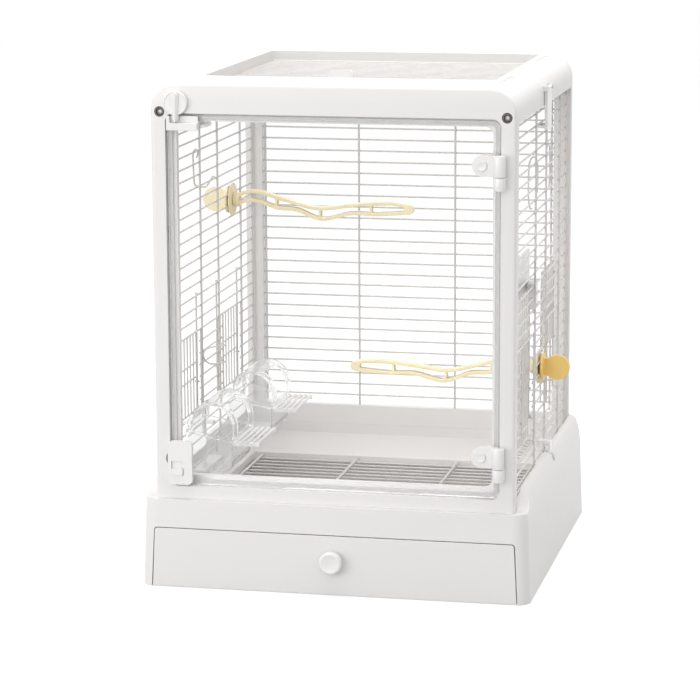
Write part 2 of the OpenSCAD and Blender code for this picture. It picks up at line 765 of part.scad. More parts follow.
// Clips, drawn for the right side
module roof_clip(shift) {
    x = roof_clip_pivot_x;
    z = roof_clip_pivot_z;
    half = roof_clip_w / 2;
    tooth_z = level(roof_wire_level, shift) - wire_d / 2 - 0.4;
    inner = x - knuckle_r;
    color(white) union() {
        box([inner, roof_clip_y - half, tooth_z - 5], [inner + clip_t, roof_clip_y + half, z]);
        rod_y(roof_clip_y - half, roof_clip_y + half, x, z, 2 * knuckle_r);
        rod_y(roof_clip_y - half - 2.6, roof_clip_y + half + 2.6, x, z, 2 * clip_pin_r);
        box([panel_x - 1, roof_clip_y - half + 2, tooth_z - 3], [inner + 1, roof_clip_y + half - 2, tooth_z]);
    }
}

module base_clip(k, shift) {
    x = base_clip_pivot_x;
    z = base_clip_pivot_z;
    half = base_clip_w / 2;
    tooth_z = level(k, shift) + wire_d / 2 + 0.4;
    color(white) union() {
        box([x - 2, base_clip_y - half, z], [x + 1, base_clip_y + half, tooth_z + 4]);
        rod_y(base_clip_y - half, base_clip_y + half, x, z, 4.4);
        rod_y(base_clip_y - half - 2.2, base_clip_y + half + 2.2, x, z, 2 * clip_pin_r);
        box([panel_x - 1, base_clip_y - half, tooth_z], [x, base_clip_y + half, tooth_z + 3]);
    }
}
module roof_clip_right() roof_clip(right_shift);
module roof_clip_left() mirror([1, 0, 0]) roof_clip(0);
module base_clip_right() base_clip(right_base_level, right_shift);
module base_clip_left() mirror([1, 0, 0]) base_clip(left_base_level, 0);

// Feeder cups
module trough_outline(inset) {
    x0 = cup_x0 + inset;
    x1 = cup_x1 - inset;
    z0 = cup_z1 - cup_h + inset;
    slope = 14;
    polygon([[x0, cup_z1 + (inset > 0 ? eps : 0)], [x0, z0], [x1 - slope, z0], [x1 - slope / 3, z0 + slope / 3],
        [x1, z0 + slope], [x1, cup_z1 + (inset > 0 ? eps : 0)]]);
}

module cup(middle) {
    hook_z = sill_z(0) + wire_d / 2 + fit;
    hook_x = -panel_x - wire_d / 2 - fit;
    color(clear) union() {
        difference() {
            slab_y(middle - cup_w / 2, middle + cup_w / 2) trough_outline(0);
            slab_y(middle - cup_w / 2 + cup_t, middle + cup_w / 2 - cup_t) trough_outline(cup_t);
        }
        for (side = [-1, 1]) {
            y = middle + side * (cup_w / 2 - 12) - 3;
            box([cup_x0, y, cup_z1 - 6], [cup_x0 + cup_t, y + 6, hook_z + 1.5]);
            box([hook_x - 1.2, y, hook_z], [cup_x0 + 0.5, y + 6, hook_z + 1.5]);
            box([hook_x - 1.2, y, hook_z - 5], [hook_x, y + 6, hook_z + 0.5]);
        }
    }
}

module cup_hood(middle) {
    x = cup_x0 + cup_t + fit + hood_r;
    z = cup_z1 + 12.5;
    wall = 1.6;
    half = cup_w / 2;
    color(clear) difference() {
        slab_y(middle - half, middle + half) {
            translate([x, z]) circle(r = hood_r, $fn = fine);
            translate([x - hood_r, cup_z1]) square([2 * hood_r, z - cup_z1]);
        }
        slab_y(middle - half + 12, middle + half - 12) {
            translate([x, z]) circle(r = hood_r - wall, $fn = fine);
            translate([x - hood_r + wall, cup_z1 - eps]) square([2 * (hood_r - wall), z - cup_z1 + eps]);
        }
        slab_y(middle - half - eps, middle + half + eps) {
            translate([x, z]) circle(r = hood_r - 3.4, $fn = fine);
            translate([x - hood_r + 3.4, cup_z1 - eps]) square([2 * (hood_r - 3.4), z - cup_z1 + eps]);
        }
        box([x + 4, middle - half + 12, cup_z1 - eps], [cup_x1 + 10, middle + half - 12, z + hood_r - 4]);
        // The circle's lower half
        box([x - 2 * hood_r, middle - half - eps, z - 2 * hood_r], [x + 2 * hood_r, middle + half + eps, cup_z1 + snug]);
    }
}

module cup_ladder(middle) {
    x0 = cup_x1 + fit;
    z1 = cup_z1 - 1;
    rung = 3;
    half = cup_w / 2;
    color(clear) union() {
        for (k = [0 : ladder_rungs - 1])
            box([x0 + k * (ladder_len - rung) / (ladder_rungs - 1), middle - half, z1 - 4],
                [x0 + k * (ladder_len - rung) / (ladder_rungs - 1) + rung, middle + half, z1]);
        for (y = [middle - half, middle + half - rung])
            box([x0, y, z1 - 6], [x0 + ladder_len, y + rung, z1 - 0.5]);
    }
}
module cup_front() cup(front_doorway_y);
module cup_rear() cup(rear_doorway_y);
module cup_hood_front() cup_hood(front_doorway_y);
module cup_hood_rear() cup_hood(rear_doorway_y);
module cup_ladder_front() cup_ladder(front_doorway_y);
module cup_ladder_rear() cup_ladder(rear_doorway_y);

// Perches: two waving rails, drawn through a few points as shares of the bar's length
upper_rail = [[0.01, 3.5], [0.12, 9.6], [0.3, 0.6], [0.48, -7.5], [0.7, -2.6], [0.88, -0.2], [0.985, -3]];
lower_rail = [[0.01, -4.5], [0.12, 0], [0.25, -7.8], [0.36, -9.6], [0.5, -19], [0.66, -12.2], [0.8, -12.4],
    [0.985, -9.8]];
webs = [[0.245, -6.2, 4], [0.49, -18, -7.5], [0.775, -12.4, -1.2]];
curve_steps = 8;

// A smooth curve through the points
function curve_point(p0, p1, p2, p3, t) =
    0.5 * (2 * p1 + (p2 - p0) * t + (2 * p0 - 5 * p1 + 4 * p2 - p3) * t * t
        + (3 * p1 - p0 - 3 * p2 + p3) * t * t * t);
function curve(p) = concat([for (i = [0 : len(p) - 2], s = [0 : curve_steps - 1])
    curve_point(p[max(i - 1, 0)], p[i], p[i + 1], p[min(i + 2, len(p) - 1)], s / curve_steps)],
    [p[len(p) - 1]]);
function sideways(p, i, d) =
    let (a = p[max(i - 1, 0)], b = p[min(i + 1, len(p) - 1)], v = (b - a) / norm(b - a))
    p[i] + d * [-v[1], v[0]];

module stroke(p, t) {
    n = len(p);
    polygon(concat([for (i = [0 : n - 1]) sideways(p, i, t / 2)],
        [for (i = [n - 1 : -1 : 0]) sideways(p, i, -t / 2)]));
}

module perch_bar() {
    rails = [for (rail = [upper_rail, lower_rail]) curve([for (q = rail) [q[0] * perch_len, q[1]]])];
    color(yellow) difference() {
        union() {
            slab_y(-perch_depth / 2, perch_depth / 2) {
                for (rail = rails)
                    stroke(rail, rail_t);
                for (web = webs)
                    translate([web[0] * perch_len - 1.3, web[1]]) square([2.6, web[2] - web[1]]);
                translate([perch_len * 0.985, -6.4]) circle(r = 5.3, $fn = small);
                translate([0, -8]) square([stud_end, 16]);
            }
            rod_x(0, stud_end, 0, 0, 16);
        }
        rod_x(-eps, stud_end - 1.5, 0, 0, 2 * (stud_r + run_gap));
    }
}

module perch_washer() {
    color(yellow) difference() {
        rod_x(0, washer_t, 0, 0, 2 * washer_r);
        rod_x(-eps, washer_t + eps, 0, 0, 2 * (stud_r + 0.2));
    }
}

// Thumb knob outside the panel: flange, neck, round paddle and the stud that runs inwards along +X
module thumb_knob() {
    face = -wire_d - 2 * fit;
    neck = 12;
    color(yellow) union() {
        rod_x(face - 3, face, 0, 0, 2 * flange_r);
        slab_y(-2.5, 2.5) {
            polygon([[face - 2.5, -8.6], [face - 2.5, 8.6], [face - neck, paddle_r - 2.5], [face - neck, -paddle_r + 2.5]]);
            translate([face - 3 - paddle_r, 0]) circle(r = paddle_r, $fn = fine);
        }
        rod_x(face - 1, washer_t + fit + stud_end - 2, 0, 0, 2 * stud_r);
    }
}

// Each perch set hangs on one side panel; the lower one is turned round to face left
module at_upper() translate([-perch_x, upper_perch_y, upper_stud_z]) children();
module at_lower() translate([perch_x, lower_perch_y, lower_stud_z]) rotate([0, 0, 180]) children();
module in_washer_place() translate([-washer_t - fit, 0, 0]) children();
module perch_upper() at_upper() perch_bar();
module perch_lower() at_lower() perch_bar();
module perch_washer_upper() at_upper() in_washer_place() perch_washer();
module perch_washer_lower() at_lower() in_washer_place() perch_washer();
module thumb_knob_upper() at_upper() in_washer_place() thumb_knob();
module thumb_knob_lower() at_lower() in_washer_place() thumb_knob();

// Bent wires: a round tube swept along a smooth curve in a plane of constant X
module bent_wire(x, points, d) {
    p = curve(points);
    n = len(p);
    sides = 8;
    rings = [for (i = [0 : n - 1], j = [0 : sides - 1])
        let (q = sideways(p, i, d / 2 * cos(360 * j / sides)))
        [x + d / 2 * sin(360 * j / sides), q[0], q[1]]];
    faces = concat(
        [for (i = [0 : n - 2], j = [0 : sides - 1])
            let (a = i * sides + j, b = i * sides + (j + 1) % sides) each [[a, b, b + sides], [a, b + sides, a + sides]]],
        [[for (j = [sides - 1 : -1 : 0]) j], [for (j = [0 : sides - 1]) (n - 1) * sides + j]]);
    color(wire_white) polyhedron(rings, faces, convexity = 6);
}
hook_d = 1.8;
left_hook_x = -panel_x + upright_off + upright_d / 2 + hook_d / 2 + fit;
right_hook_x = panel_x - wire_d / 2 - hook_d / 2 - fit;
hook_z = level(top_level(0) - 4);
left_hook = [[-62.6, -4.7], [-56.5, -2.3], [-58.7, 2.4], [-68.2, 3.9], [-75.5, 0.6], [-74.7, -14], [-72.4, -29.5],
    [-64.3, -34.7], [-46.3, -38], [-26.9, -40.6], [-14.5, -38.4], [-4.4, -35.2], [5.7, -33.6], [10.7, -35.2]];
right_front_hook = [[-8, -40.8], [-4, -32.8], [-4, -14.8], [-14, -4.8], [-36, 0.2], [-60, -2.8], [-66, -14.8],
    [-66, -38.8], [-54, -50.8], [-42, -52.8]];
right_rear_hook = [[58, -8.8], [60, -1.8], [70, 1.2], [81, -2.8], [84, -12.8], [84, -36.8], [78, -46.8]];
loop_z = level(8);
loop = [[45, 4.5], [19.4, 8.2], [-10.1, 12.6], [-35, 14.6], [-44.6, 11.5], [-39.7, 4], [-19.3, -3.8], [5.7, -9],
    [31.2, -13], [48.5, -14.1]];
function hung(points) = [for (p = points) [p[0], hook_z + p[1]]];
module hook_left() bent_wire(left_hook_x, hung(left_hook), hook_d);
module hook_right_front() bent_wire(right_hook_x, hung(right_front_hook), hook_d);
module hook_right_rear() bent_wire(right_hook_x, hung(right_rear_hook), hook_d);
module wire_loop() bent_wire(left_hook_x, [for (p = loop) [p[0], loop_z + p[1]]], hook_d);

// Greens rack on the inside of the right panel
rack_x = panel_x - 12;
rack_y0 = -98;
rack_y1 = 0;
rack_h = 169;
rack_z0 = ledge_z + 31.5;
rack_z1 = rack_z0 + rack_h;
rack_wires = 8;
rack_bar_d = 6;
module greens_rack() {
    color(wire_white) union() {
        for (k = [0 : rack_wires - 1]) {
            y = rack_y0 + (rack_y1 - rack_y0) * k / (rack_wires - 1);
            rod_z(rack_z0 - wire_d / 2, rack_z1, rack_x, y, wire_d);
            rod_x(rack_x, panel_x - 2 * wire_d, y, rack_z0, wire_d);
        }
        rod_y(rack_y0 - 1.5, rack_y1 + 1.5, rack_x, rack_z1, rack_bar_d);
        rod_y(rack_y0 - 1.5, rack_y1 + 1.5, panel_x - 2 * wire_d, rack_z0, wire_d);
    }
}
module rack_plate() {
    z0 = rack_z1 + rack_bar_d / 2 + snug;
    color(white) slab_x(rack_x - 1.5, rack_x + 1.5) rounded([rack_y0 - 1, z0], [rack_y1 + 1, z0 + 36], 4);
}
module rack_bracket() {
    z0 = rack_z1 - 22;
    color(white) box([rack_x + rack_bar_d / 2 + snug, rack_y1 - 30, z0], [panel_x - wire_d / 2 - snug, rack_y1 - 2, z0 + 28]);
}

base_shell();
drawer();
drawer_knob();
floor_grate();
front_frame();
rear_frame();
roof_cover();
roof_grille();
roof_grip();
left_panel();
right_panel();
left_guides();
right_guides();
rear_panel();
feeder_door_left_front();
feeder_door_left_rear();
feeder_door_right_front();
feeder_door_right_rear();
front_door();
door_leaf_upper();
door_leaf_lower();
frame_hinge_upper();
frame_hinge_lower();
leaf_screw_caps();
catch_block();
turn_knob();
knob_retainer();
latch_body();
latch_bolt();
frame_screws();
roof_clip_left();
roof_clip_right();
base_clip_left();
base_clip_right();
cup_front();
cup_rear();
cup_hood_front();
cup_hood_rear();
cup_ladder_front();
cup_ladder_rear();
perch_upper();
perch_lower();
perch_washer_upper();
perch_washer_lower();
thumb_knob_upper();
thumb_knob_lower();
hook_left();
hook_right_front();
hook_right_rear();
greens_rack();
rack_plate();
rack_bracket();
wire_loop();
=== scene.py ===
# %% [markdown]
# # A bird cage with a clear front door
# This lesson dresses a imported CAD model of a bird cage. The CAD solids carry the sizes and the
# motion; the pieces made here add the soft edges, curves and finishes of the real thing. All sizes
# in the lesson are in millimetres and turn into metres in one place.

# %% Load the frame
import math

import bmesh
import bpy
from mathutils import Matrix, Vector


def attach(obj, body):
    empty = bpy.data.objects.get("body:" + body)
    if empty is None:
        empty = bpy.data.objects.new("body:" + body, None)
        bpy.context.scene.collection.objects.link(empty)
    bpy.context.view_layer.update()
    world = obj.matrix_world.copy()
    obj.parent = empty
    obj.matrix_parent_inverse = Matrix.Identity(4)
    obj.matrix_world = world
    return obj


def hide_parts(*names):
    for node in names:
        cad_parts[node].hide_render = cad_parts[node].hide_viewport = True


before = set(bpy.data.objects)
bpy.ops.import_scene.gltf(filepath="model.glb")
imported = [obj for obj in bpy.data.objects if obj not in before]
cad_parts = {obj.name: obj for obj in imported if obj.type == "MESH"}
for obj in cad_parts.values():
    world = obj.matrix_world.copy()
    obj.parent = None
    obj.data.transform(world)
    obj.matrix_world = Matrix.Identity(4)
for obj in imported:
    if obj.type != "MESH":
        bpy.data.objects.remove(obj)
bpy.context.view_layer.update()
MM = 0.001

# %% [markdown]
# ## Modelling helpers
# Nearly every moulded piece of a cage is an outline pushed along one axis, or a few outlines joined
# like the hoops of a barrel. So the helpers are a loft, a prism, a lathe and a tube, plus a cut and
# a rounded edge. Writing them once keeps each piece below down to a few lines.

# %% Outlines
AXES = {
    "x": lambda u, v, t: (t, u, v),
    "y": lambda u, v, t: (u, t, v),
    "z": lambda u, v, t: (u, v, t),
}


def rounded(left, low, right, high, radii, steps=8):
    """A rectangle with round corners, as points: lower left, lower right, upper right, upper left."""
    if not isinstance(radii, (tuple, list)):
        radii = (radii,) * 4
    centres = [(left, low, 180, 1, 1), (right, low, 270, -1, 1),
               (right, high, 0, -1, -1), (left, high, 90, 1, -1)]
    points = []
    for (x, z, start, sx, sz), r in zip(centres, radii):
        for k in range(steps + 1):
            angle = math.radians(start + 90 * k / steps)
            points.append((x + sx * r + r * math.cos(angle), z + sz * r + r * math.sin(angle)))
    return points


def level(outline, axis, t):
    """The outline as 3D points at height t along the axis."""
    return [AXES[axis](u, v, t) for u, v in outline]


def span(side, a, b):
    """Two x places on one side of the cage, the lower one first; side is -1 for left and 1 for right."""
    return sorted((side * a, side * b))


# %% Meshes
WELD = 1e-6  # metres; nearer points become one


def add_mesh(name, points, faces):
    mesh = bpy.data.meshes.new(name)
    mesh.from_pydata([Vector(p) * MM for p in points], [], faces)
    work = bmesh.new()
    work.from_mesh(mesh)
    bmesh.ops.remove_doubles(work, verts=work.verts, dist=WELD)
    bmesh.ops.recalc_face_normals(work, faces=work.faces)
    work.to_mesh(mesh)
    work.free()
    obj = bpy.data.objects.new(name, mesh)
    bpy.context.scene.collection.objects.link(obj)
    return obj


def loft(name, loops, ring=False):
    """Joins loops of equally many points; a ring's last loop joins its first one."""
    n = len(loops[0])
    points = [p for loop in loops for p in loop]
    faces = []
    for i in range(len(loops) if ring else len(loops) - 1):
        a, b = i * n, (i + 1) % len(loops) * n
        faces += [(a + j, a + (j + 1) % n, b + (j + 1) % n, b + j) for j in range(n)]
    if not ring:
        faces += [tuple(range(n)), tuple(range((len(loops) - 1) * n, len(loops) * n))]
    return add_mesh(name, points, faces)


def prism(name, outline, axis, low, high):
    return loft(name, [level(outline, axis, low), level(outline, axis, high)])


def block(name, low, high):
    outline = [(low[0], low[1]), (high[0], low[1]), (high[0], high[1]), (low[0], high[1])]
    return prism(name, outline, "z", low[2], high[2])


def circle(u, v, radius, steps=48):
    return [(u + radius * math.cos(2 * math.pi * k / steps), v + radius * math.sin(2 * math.pi * k / steps))
            for k in range(steps)]


def turned(name, profile, axis, centre, steps=48):
    """A lathe: profile lists (radius, place along the axis); centre is the other two coordinates."""
    return loft(name, [level(circle(*centre, radius, steps), axis, t) for radius, t in profile])


# %% Cuts, joins and soft edges
def bake(obj):
    """Applies the modifiers that the object has so far."""
    graph = bpy.context.evaluated_depsgraph_get()
    mesh = bpy.data.meshes.new_from_object(obj.evaluated_get(graph))
    obj.modifiers.clear()
    old, obj.data = obj.data, mesh
    bpy.data.meshes.remove(old)
    return obj


def combine(obj, tools, operation):
    for tool in tools:
        step = obj.modifiers.new("step", "BOOLEAN")
        step.operation = operation
        step.solver = "EXACT"
        step.object = tool
        bake(obj)
        mesh = tool.data
        bpy.data.objects.remove(tool)
        bpy.data.meshes.remove(mesh)
    return obj


def cut(obj, *tools):
    return combine(obj, tools, "DIFFERENCE")


def join(obj, *tools):
    return combine(obj, tools, "UNION")


SOFT_WELD = 2e-5  # metres
FLAT = math.radians(0.5)  # faces that meet at less than this are one face


def soften(obj, width, segments=3, angle=32):
    """Rounds the sharp edges, as a mould does."""
    work = bmesh.new()
    work.from_mesh(obj.data)
    bmesh.ops.remove_doubles(work, verts=work.verts, dist=SOFT_WELD)
    bmesh.ops.dissolve_limit(work, angle_limit=FLAT, verts=work.verts, edges=work.edges)
    work.to_mesh(obj.data)
    work.free()
    edge = obj.modifiers.new("soft edges", "BEVEL")
    edge.width = width * MM
    edge.segments = segments
    edge.limit_method = "ANGLE"
    edge.angle_limit = math.radians(angle)
    edge.harden_normals = True
    edge.miter_outer = "MITER_ARC"
    obj.data.shade_smooth()
    return obj


print("helpers ready")

# %% [markdown]
# ## Finishes
# The cage is nearly all white, so its realism comes from small things: a faint grain from the
# mould, slow drifts in tone, smudges that change the gloss and a trace of dust on faces that look
# up. Each effect is a node group made once; every material sets its own amounts.

# %% Node group helper
def node_group(name, inputs, outputs):
    group = bpy.data.node_groups.new(name, "ShaderNodeTree")
    for kind, sockets in (("INPUT", inputs), ("OUTPUT", outputs)):
        for label, socket_type, value in sockets:
            socket = group.interface.new_socket(label, in_out=kind, socket_type=socket_type)
            if kind == "INPUT" and value is not None:
                socket.default_value = value
    return group, group.nodes.new("NodeGroupInput"), group.nodes.new("NodeGroupOutput")


FLOAT, COLOR = "NodeSocketFloat", "NodeSocketColor"


def noise(group, scale_socket, detail, stretch=None):
    """A noise texture in the piece's own coordinates, in cycles per metre."""
    place = group.nodes.new("ShaderNodeTexCoord")
    texture = group.nodes.new("ShaderNodeTexNoise")
    texture.inputs["Detail"].default_value = detail
    group.links.new(scale_socket, texture.inputs["Scale"])
    if stretch:
        mapping = group.nodes.new("ShaderNodeMapping")
        mapping.inputs["Scale"].default_value = stretch
        group.links.new(place.outputs["Object"], mapping.inputs["Vector"])
        group.links.new(mapping.outputs["Vector"], texture.inputs["Vector"])
    else:
        group.links.new(place.outputs["Object"], texture.inputs["Vector"])
    return texture.outputs["Fac"]


def math_node(group, operation, a, b, clamp=False):
    node = group.nodes.new("ShaderNodeMath")
    node.operation = operation
    node.use_clamp = clamp
    for socket, value in zip(node.inputs, (a, b)):
        if isinstance(value, (int, float)):
            socket.default_value = value
        else:
            group.links.new(value, socket)
    return node.outputs[0]


# %% Group: mould grain
grain, grain_in, grain_out = node_group(
    "Mould grain", [("Scale", FLOAT, 900.0), ("Sink", FLOAT, 0.3)], [("Height", FLOAT, None)])
fine = noise(grain, grain_in.outputs["Scale"], 3)
slow_scale = math_node(grain, "DIVIDE", grain_in.outputs["Scale"], 30.0)
slow = noise(grain, slow_scale, 2)
grain.links.new(math_node(grain, "ADD", fine, math_node(grain, "MULTIPLY", slow, grain_in.outputs["Sink"])),
                grain_out.inputs["Height"])
print("group", grain.name)

# %% Group: tone drift
drift, drift_in, drift_out = node_group(
    "Tone drift", [("Color", COLOR, (0.8, 0.8, 0.8, 1)), ("Second color", COLOR, (0.7, 0.7, 0.7, 1)),
                   ("Scale", FLOAT, 9.0), ("Amount", FLOAT, 0.5)], [("Color", COLOR, None)])
patch = noise(drift, drift_in.outputs["Scale"], 4)
share = math_node(drift, "MULTIPLY", patch, drift_in.outputs["Amount"], clamp=True)
blend = drift.nodes.new("ShaderNodeMix")
blend.data_type = "RGBA"
drift.links.new(share, blend.inputs["Factor"])
drift.links.new(drift_in.outputs["Color"], blend.inputs["A"])
drift.links.new(drift_in.outputs["Second color"], blend.inputs["B"])
drift.links.new(blend.outputs["Result"], drift_out.inputs["Color"])
print("group", drift.name)

# %% Group: handling marks, which change the gloss
marks, marks_in, marks_out = node_group(
    "Handling marks", [("Roughness", FLOAT, 0.4), ("Spread", FLOAT, 0.1), ("Scale", FLOAT, 40.0)],
    [("Roughness", FLOAT, None)])
smudge = noise(marks, marks_in.outputs["Scale"], 5)
centred = math_node(marks, "SUBTRACT", smudge, 0.5)
marks.links.new(math_node(marks, "ADD", marks_in.outputs["Roughness"],
                          math_node(marks, "MULTIPLY", centred, marks_in.outputs["Spread"]), clamp=True),
                marks_out.inputs["Roughness"])
print("group", marks.name)

# %% Group: settled dust, on faces that look up
dust, dust_in, dust_out = node_group(
    "Settled dust", [("Color", COLOR, (0.8, 0.8, 0.8, 1)), ("Dust", COLOR, (0.6, 0.58, 0.55, 1)),
                     ("Amount", FLOAT, 0.1), ("Scale", FLOAT, 120.0)], [("Color", COLOR, None)])
facing = dust.nodes.new("ShaderNodeNewGeometry")
split = dust.nodes.new("ShaderNodeSeparateXYZ")
dust.links.new(facing.outputs["Normal"], split.inputs[0])
upward = math_node(dust, "POWER", math_node(dust, "MAXIMUM", split.outputs["Z"], 0.0), 3.0)
speck = noise(dust, dust_in.outputs["Scale"], 6)
film = math_node(dust, "MULTIPLY", math_node(dust, "MULTIPLY", upward, speck), dust_in.outputs["Amount"],
                 clamp=True)
layer = dust.nodes.new("ShaderNodeMix")
layer.data_type = "RGBA"
dust.links.new(film, layer.inputs["Factor"])
dust.links.new(dust_in.outputs["Color"], layer.inputs["A"])
dust.links.new(dust_in.outputs["Dust"], layer.inputs["B"])
dust.links.new(layer.outputs["Result"], dust_out.inputs["Color"])
print("group", dust.name)


# %% Material helpers
RELIEF_DEPTH = 0.0002  # metres


def new_material(name):
    material = bpy.data.materials.new(name)
    material.use_nodes = True
    return material, material.node_tree, material.node_tree.nodes["Principled BSDF"]


def use_group(tree, group, **values):
    node = tree.nodes.new("ShaderNodeGroup")
    node.node_tree = group
    for label, value in values.items():
        socket = node.inputs[label.replace("_", " ")]
        if hasattr(value, "links"):
            tree.links.new(value, socket)
        else:
            socket.default_value = value
    return node.outputs[0]


def add_relief(tree, shader, bump, scale, sink):
    """Lets the mould's grain bend the light."""
    relief = tree.nodes.new("ShaderNodeBump")
    relief.inputs["Strength"].default_value = bump
    relief.inputs["Distance"].default_value = RELIEF_DEPTH
    tree.links.new(use_group(tree, grain, Scale=scale, Sink=sink), relief.inputs["Height"])
    tree.links.new(relief.outputs["Normal"], shader.inputs["Normal"])


def opaque(name, color, second, drift_amount, roughness, spread, grain_scale, bump, dust_amount=0.1,
           coat=0.0, metallic=0.0, drift_scale=9.0):
    material, tree, shader = new_material(name)
    tone = use_group(tree, drift, Color=(*color, 1), Second_color=(*second, 1), Amount=drift_amount,
                     Scale=drift_scale)
    tree.links.new(use_group(tree, dust, Color=tone, Amount=dust_amount), shader.inputs["Base Color"])
    tree.links.new(use_group(tree, marks, Roughness=roughness, Spread=spread), shader.inputs["Roughness"])
    add_relief(tree, shader, bump, grain_scale, 0.3)
    shader.inputs["Coat Weight"].default_value = coat
    shader.inputs["Coat Roughness"].default_value = 0.12
    shader.inputs["Metallic"].default_value = metallic
    return material


# %% [markdown]
# The frames and the base are satin white with a hint of warmth; the small fittings are the same
# plastic with more shine. The wire is coated steel: a touch darker and glossier. The perches are
# pale yellow and one knob is a deeper mustard.

# %% Solid finishes
satin_white = opaque("Satin white plastic", (0.83, 0.815, 0.805), (0.77, 0.755, 0.74), 0.35, 0.36, 0.12,
                     1100.0, 0.12)
glossy_white = opaque("Glossy white plastic", (0.86, 0.85, 0.84), (0.80, 0.79, 0.78), 0.3, 0.22, 0.1,
                      900.0, 0.06, coat=0.4)
coated_wire = opaque("White coated wire", (0.70, 0.68, 0.66), (0.56, 0.54, 0.52), 0.5, 0.28, 0.2,
                     1500.0, 0.25, dust_amount=0.05, coat=0.3, drift_scale=60.0)
pale_yellow = opaque("Pale yellow plastic", (0.95, 0.85, 0.585), (0.92, 0.79, 0.48), 0.45, 0.42, 0.15,
                     1300.0, 0.2, drift_scale=30.0)
mustard = opaque("Mustard plastic", (0.93, 0.655, 0.215), (0.87, 0.57, 0.16), 0.45, 0.40, 0.15,
                 1300.0, 0.2, drift_scale=40.0)
dark_steel = opaque("Dark screw steel", (0.13, 0.125, 0.12), (0.22, 0.20, 0.18), 0.6, 0.3, 0.25,
                    2500.0, 0.3, metallic=0.9, drift_scale=300.0)
print("six solid finishes")

# %% [markdown]
# ## Clear plastic
# The door and the cups are clear. A plain glass shader would keep the lamps from lighting what is
# behind the door, so a shadow ray passes straight through: Light Path swaps in a Transparent shader.
# A ray that has already bent in a few clear walls passes straight on too, or the stacked walls of the
# cups would turn black. Smudges in the gloss keep the sheet from looking like empty air.

# %% Clear finishes
BENDS = 4.5
PASS_TINT = (0.985, 0.985, 0.985, 1)


def see_through(name, tint, index, roughness, spread, bump, clearness=1.0):
    material, tree, shader = new_material(name)
    shader.inputs["Base Color"].default_value = (*tint, 1)
    shader.inputs["Transmission Weight"].default_value = clearness
    shader.inputs["IOR"].default_value = index
    tree.links.new(use_group(tree, marks, Roughness=roughness, Spread=spread, Scale=60.0),
                   shader.inputs["Roughness"])
    add_relief(tree, shader, bump, 300.0, 0.6)
    rays = tree.nodes.new("ShaderNodeLightPath")
    pass_through = tree.nodes.new("ShaderNodeBsdfTransparent")
    pass_through.inputs["Color"].default_value = PASS_TINT
    choose = tree.nodes.new("ShaderNodeMixShader")
    late = math_node(tree, "GREATER_THAN", rays.outputs["Ray Depth"], BENDS)
    tree.links.new(math_node(tree, "MAXIMUM", rays.outputs["Is Shadow Ray"], late), choose.inputs["Fac"])
    tree.links.new(shader.outputs["BSDF"], choose.inputs[1])
    tree.links.new(pass_through.outputs["BSDF"], choose.inputs[2])
    tree.links.new(choose.outputs["Shader"], tree.nodes["Material Output"].inputs["Surface"])
    return material


clear_sheet = see_through("Clear door plastic", (0.99, 0.99, 0.99), 1.16, 0.01, 0.015, 0.004)
clear_cup = see_through("Clear cup plastic", (0.975, 0.98, 0.98), 1.22, 0.03, 0.03, 0.02, 0.86)
# The rim's grey tint is painted shade: it stands in for the dark refractions along the door's edges.
clear_rim_painted_shade = see_through("Clear rim plastic with painted shade", (0.70, 0.695, 0.69), 1.2, 0.05, 0.04, 0.01, 0.4)
clear_bar = see_through("Clear ladder plastic", (0.95, 0.945, 0.94), 1.2, 0.08, 0.05, 0.02, 0.35)
print("four clear finishes")


# %% Placing a finished piece
def place(obj, body, material, slot, *nodes):
    obj.data.materials.clear()
    obj.data.materials.append(material)
    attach(obj, body)
    if nodes:
        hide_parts(*nodes)
    print("piece", obj.name, len(obj.data.polygons), "faces")
    return obj


# %% [markdown]
# ## Base
# The base is one white moulding: walls that lean in a little, rounded corners, a front ledge, side
# walls that rise behind it, and inside them a sloped hopper over the drawer. A loft of rounded
# rectangles gives the leaning outside; the rest is cut away, as the mould's cores would do.

# %% Base
BASE_X, BASE_Y, LEDGE_Z, WALL_Z = 202.5, 206.5, 92.5, 112.0
DRAFT, SHOULDER_X, SHOULDER_Z, BASE_CORNER = 2.5, 10.0, 40.0, 16.0
FRONT_Y, FRAME_BACK_Y, REAR_FRONT_Y, REAR_Y = -198.5, -182.0, 186.5, 198.5


def base_loop(z, side):
    """The footprint at height z, with the side walls drawn in by side."""
    front = DRAFT * min(z / LEDGE_Z, 1)
    rear = DRAFT * z / WALL_Z + max(z - 109, 0)
    return level(rounded(-BASE_X + side, -BASE_Y + front, BASE_X - side, BASE_Y - rear,
                         BASE_CORNER - side / 3, 8), "z", z)


shoulder_foot = WALL_Z - SHOULDER_Z
loops = [base_loop(0, 0), base_loop(shoulder_foot, DRAFT)]
for k in range(1, 13):
    turn = math.radians(7.5 * k)
    drawn_in = DRAFT + SHOULDER_X * (1 - math.cos(turn))
    loops.append(base_loop(shoulder_foot + SHOULDER_Z * math.sin(turn), drawn_in))
base = loft("base", loops)

RISE_Y, RISE_L, BEYOND, SEAT_X = -190.5, 40, 230, 186.3
rise = [(RISE_Y + RISE_L * k / 8, LEDGE_Z + (WALL_Z - LEDGE_Z) * (1 - math.cos(math.pi * k / 8)) / 2)
        for k in range(9)]
ledge_cut = prism("ledge_cut", [(-BEYOND, LEDGE_Z), *rise, (RISE_Y + RISE_L, 140), (-BEYOND, 140)], "x",
                  -BEYOND, BEYOND)
seat_cut = block("seat_cut", (-SEAT_X, -BEYOND, LEDGE_Z), (SEAT_X, 198.8, 130))
mouth = rounded(-167, -167, 167, 138.5, 1.5, 4)
hopper_top = rounded(-177, FRAME_BACK_Y, 177, REAR_FRONT_Y, 1.5, 4)
hopper_cut = loft("hopper_cut", [level(mouth, "z", 57), level(mouth, "z", 66), level(hopper_top, "z", 81),
                                 level(hopper_top, "z", 95)])
cavity_cut = block("cavity_cut", (-187, -207.5, 2.5), (187, 194.5, 58))


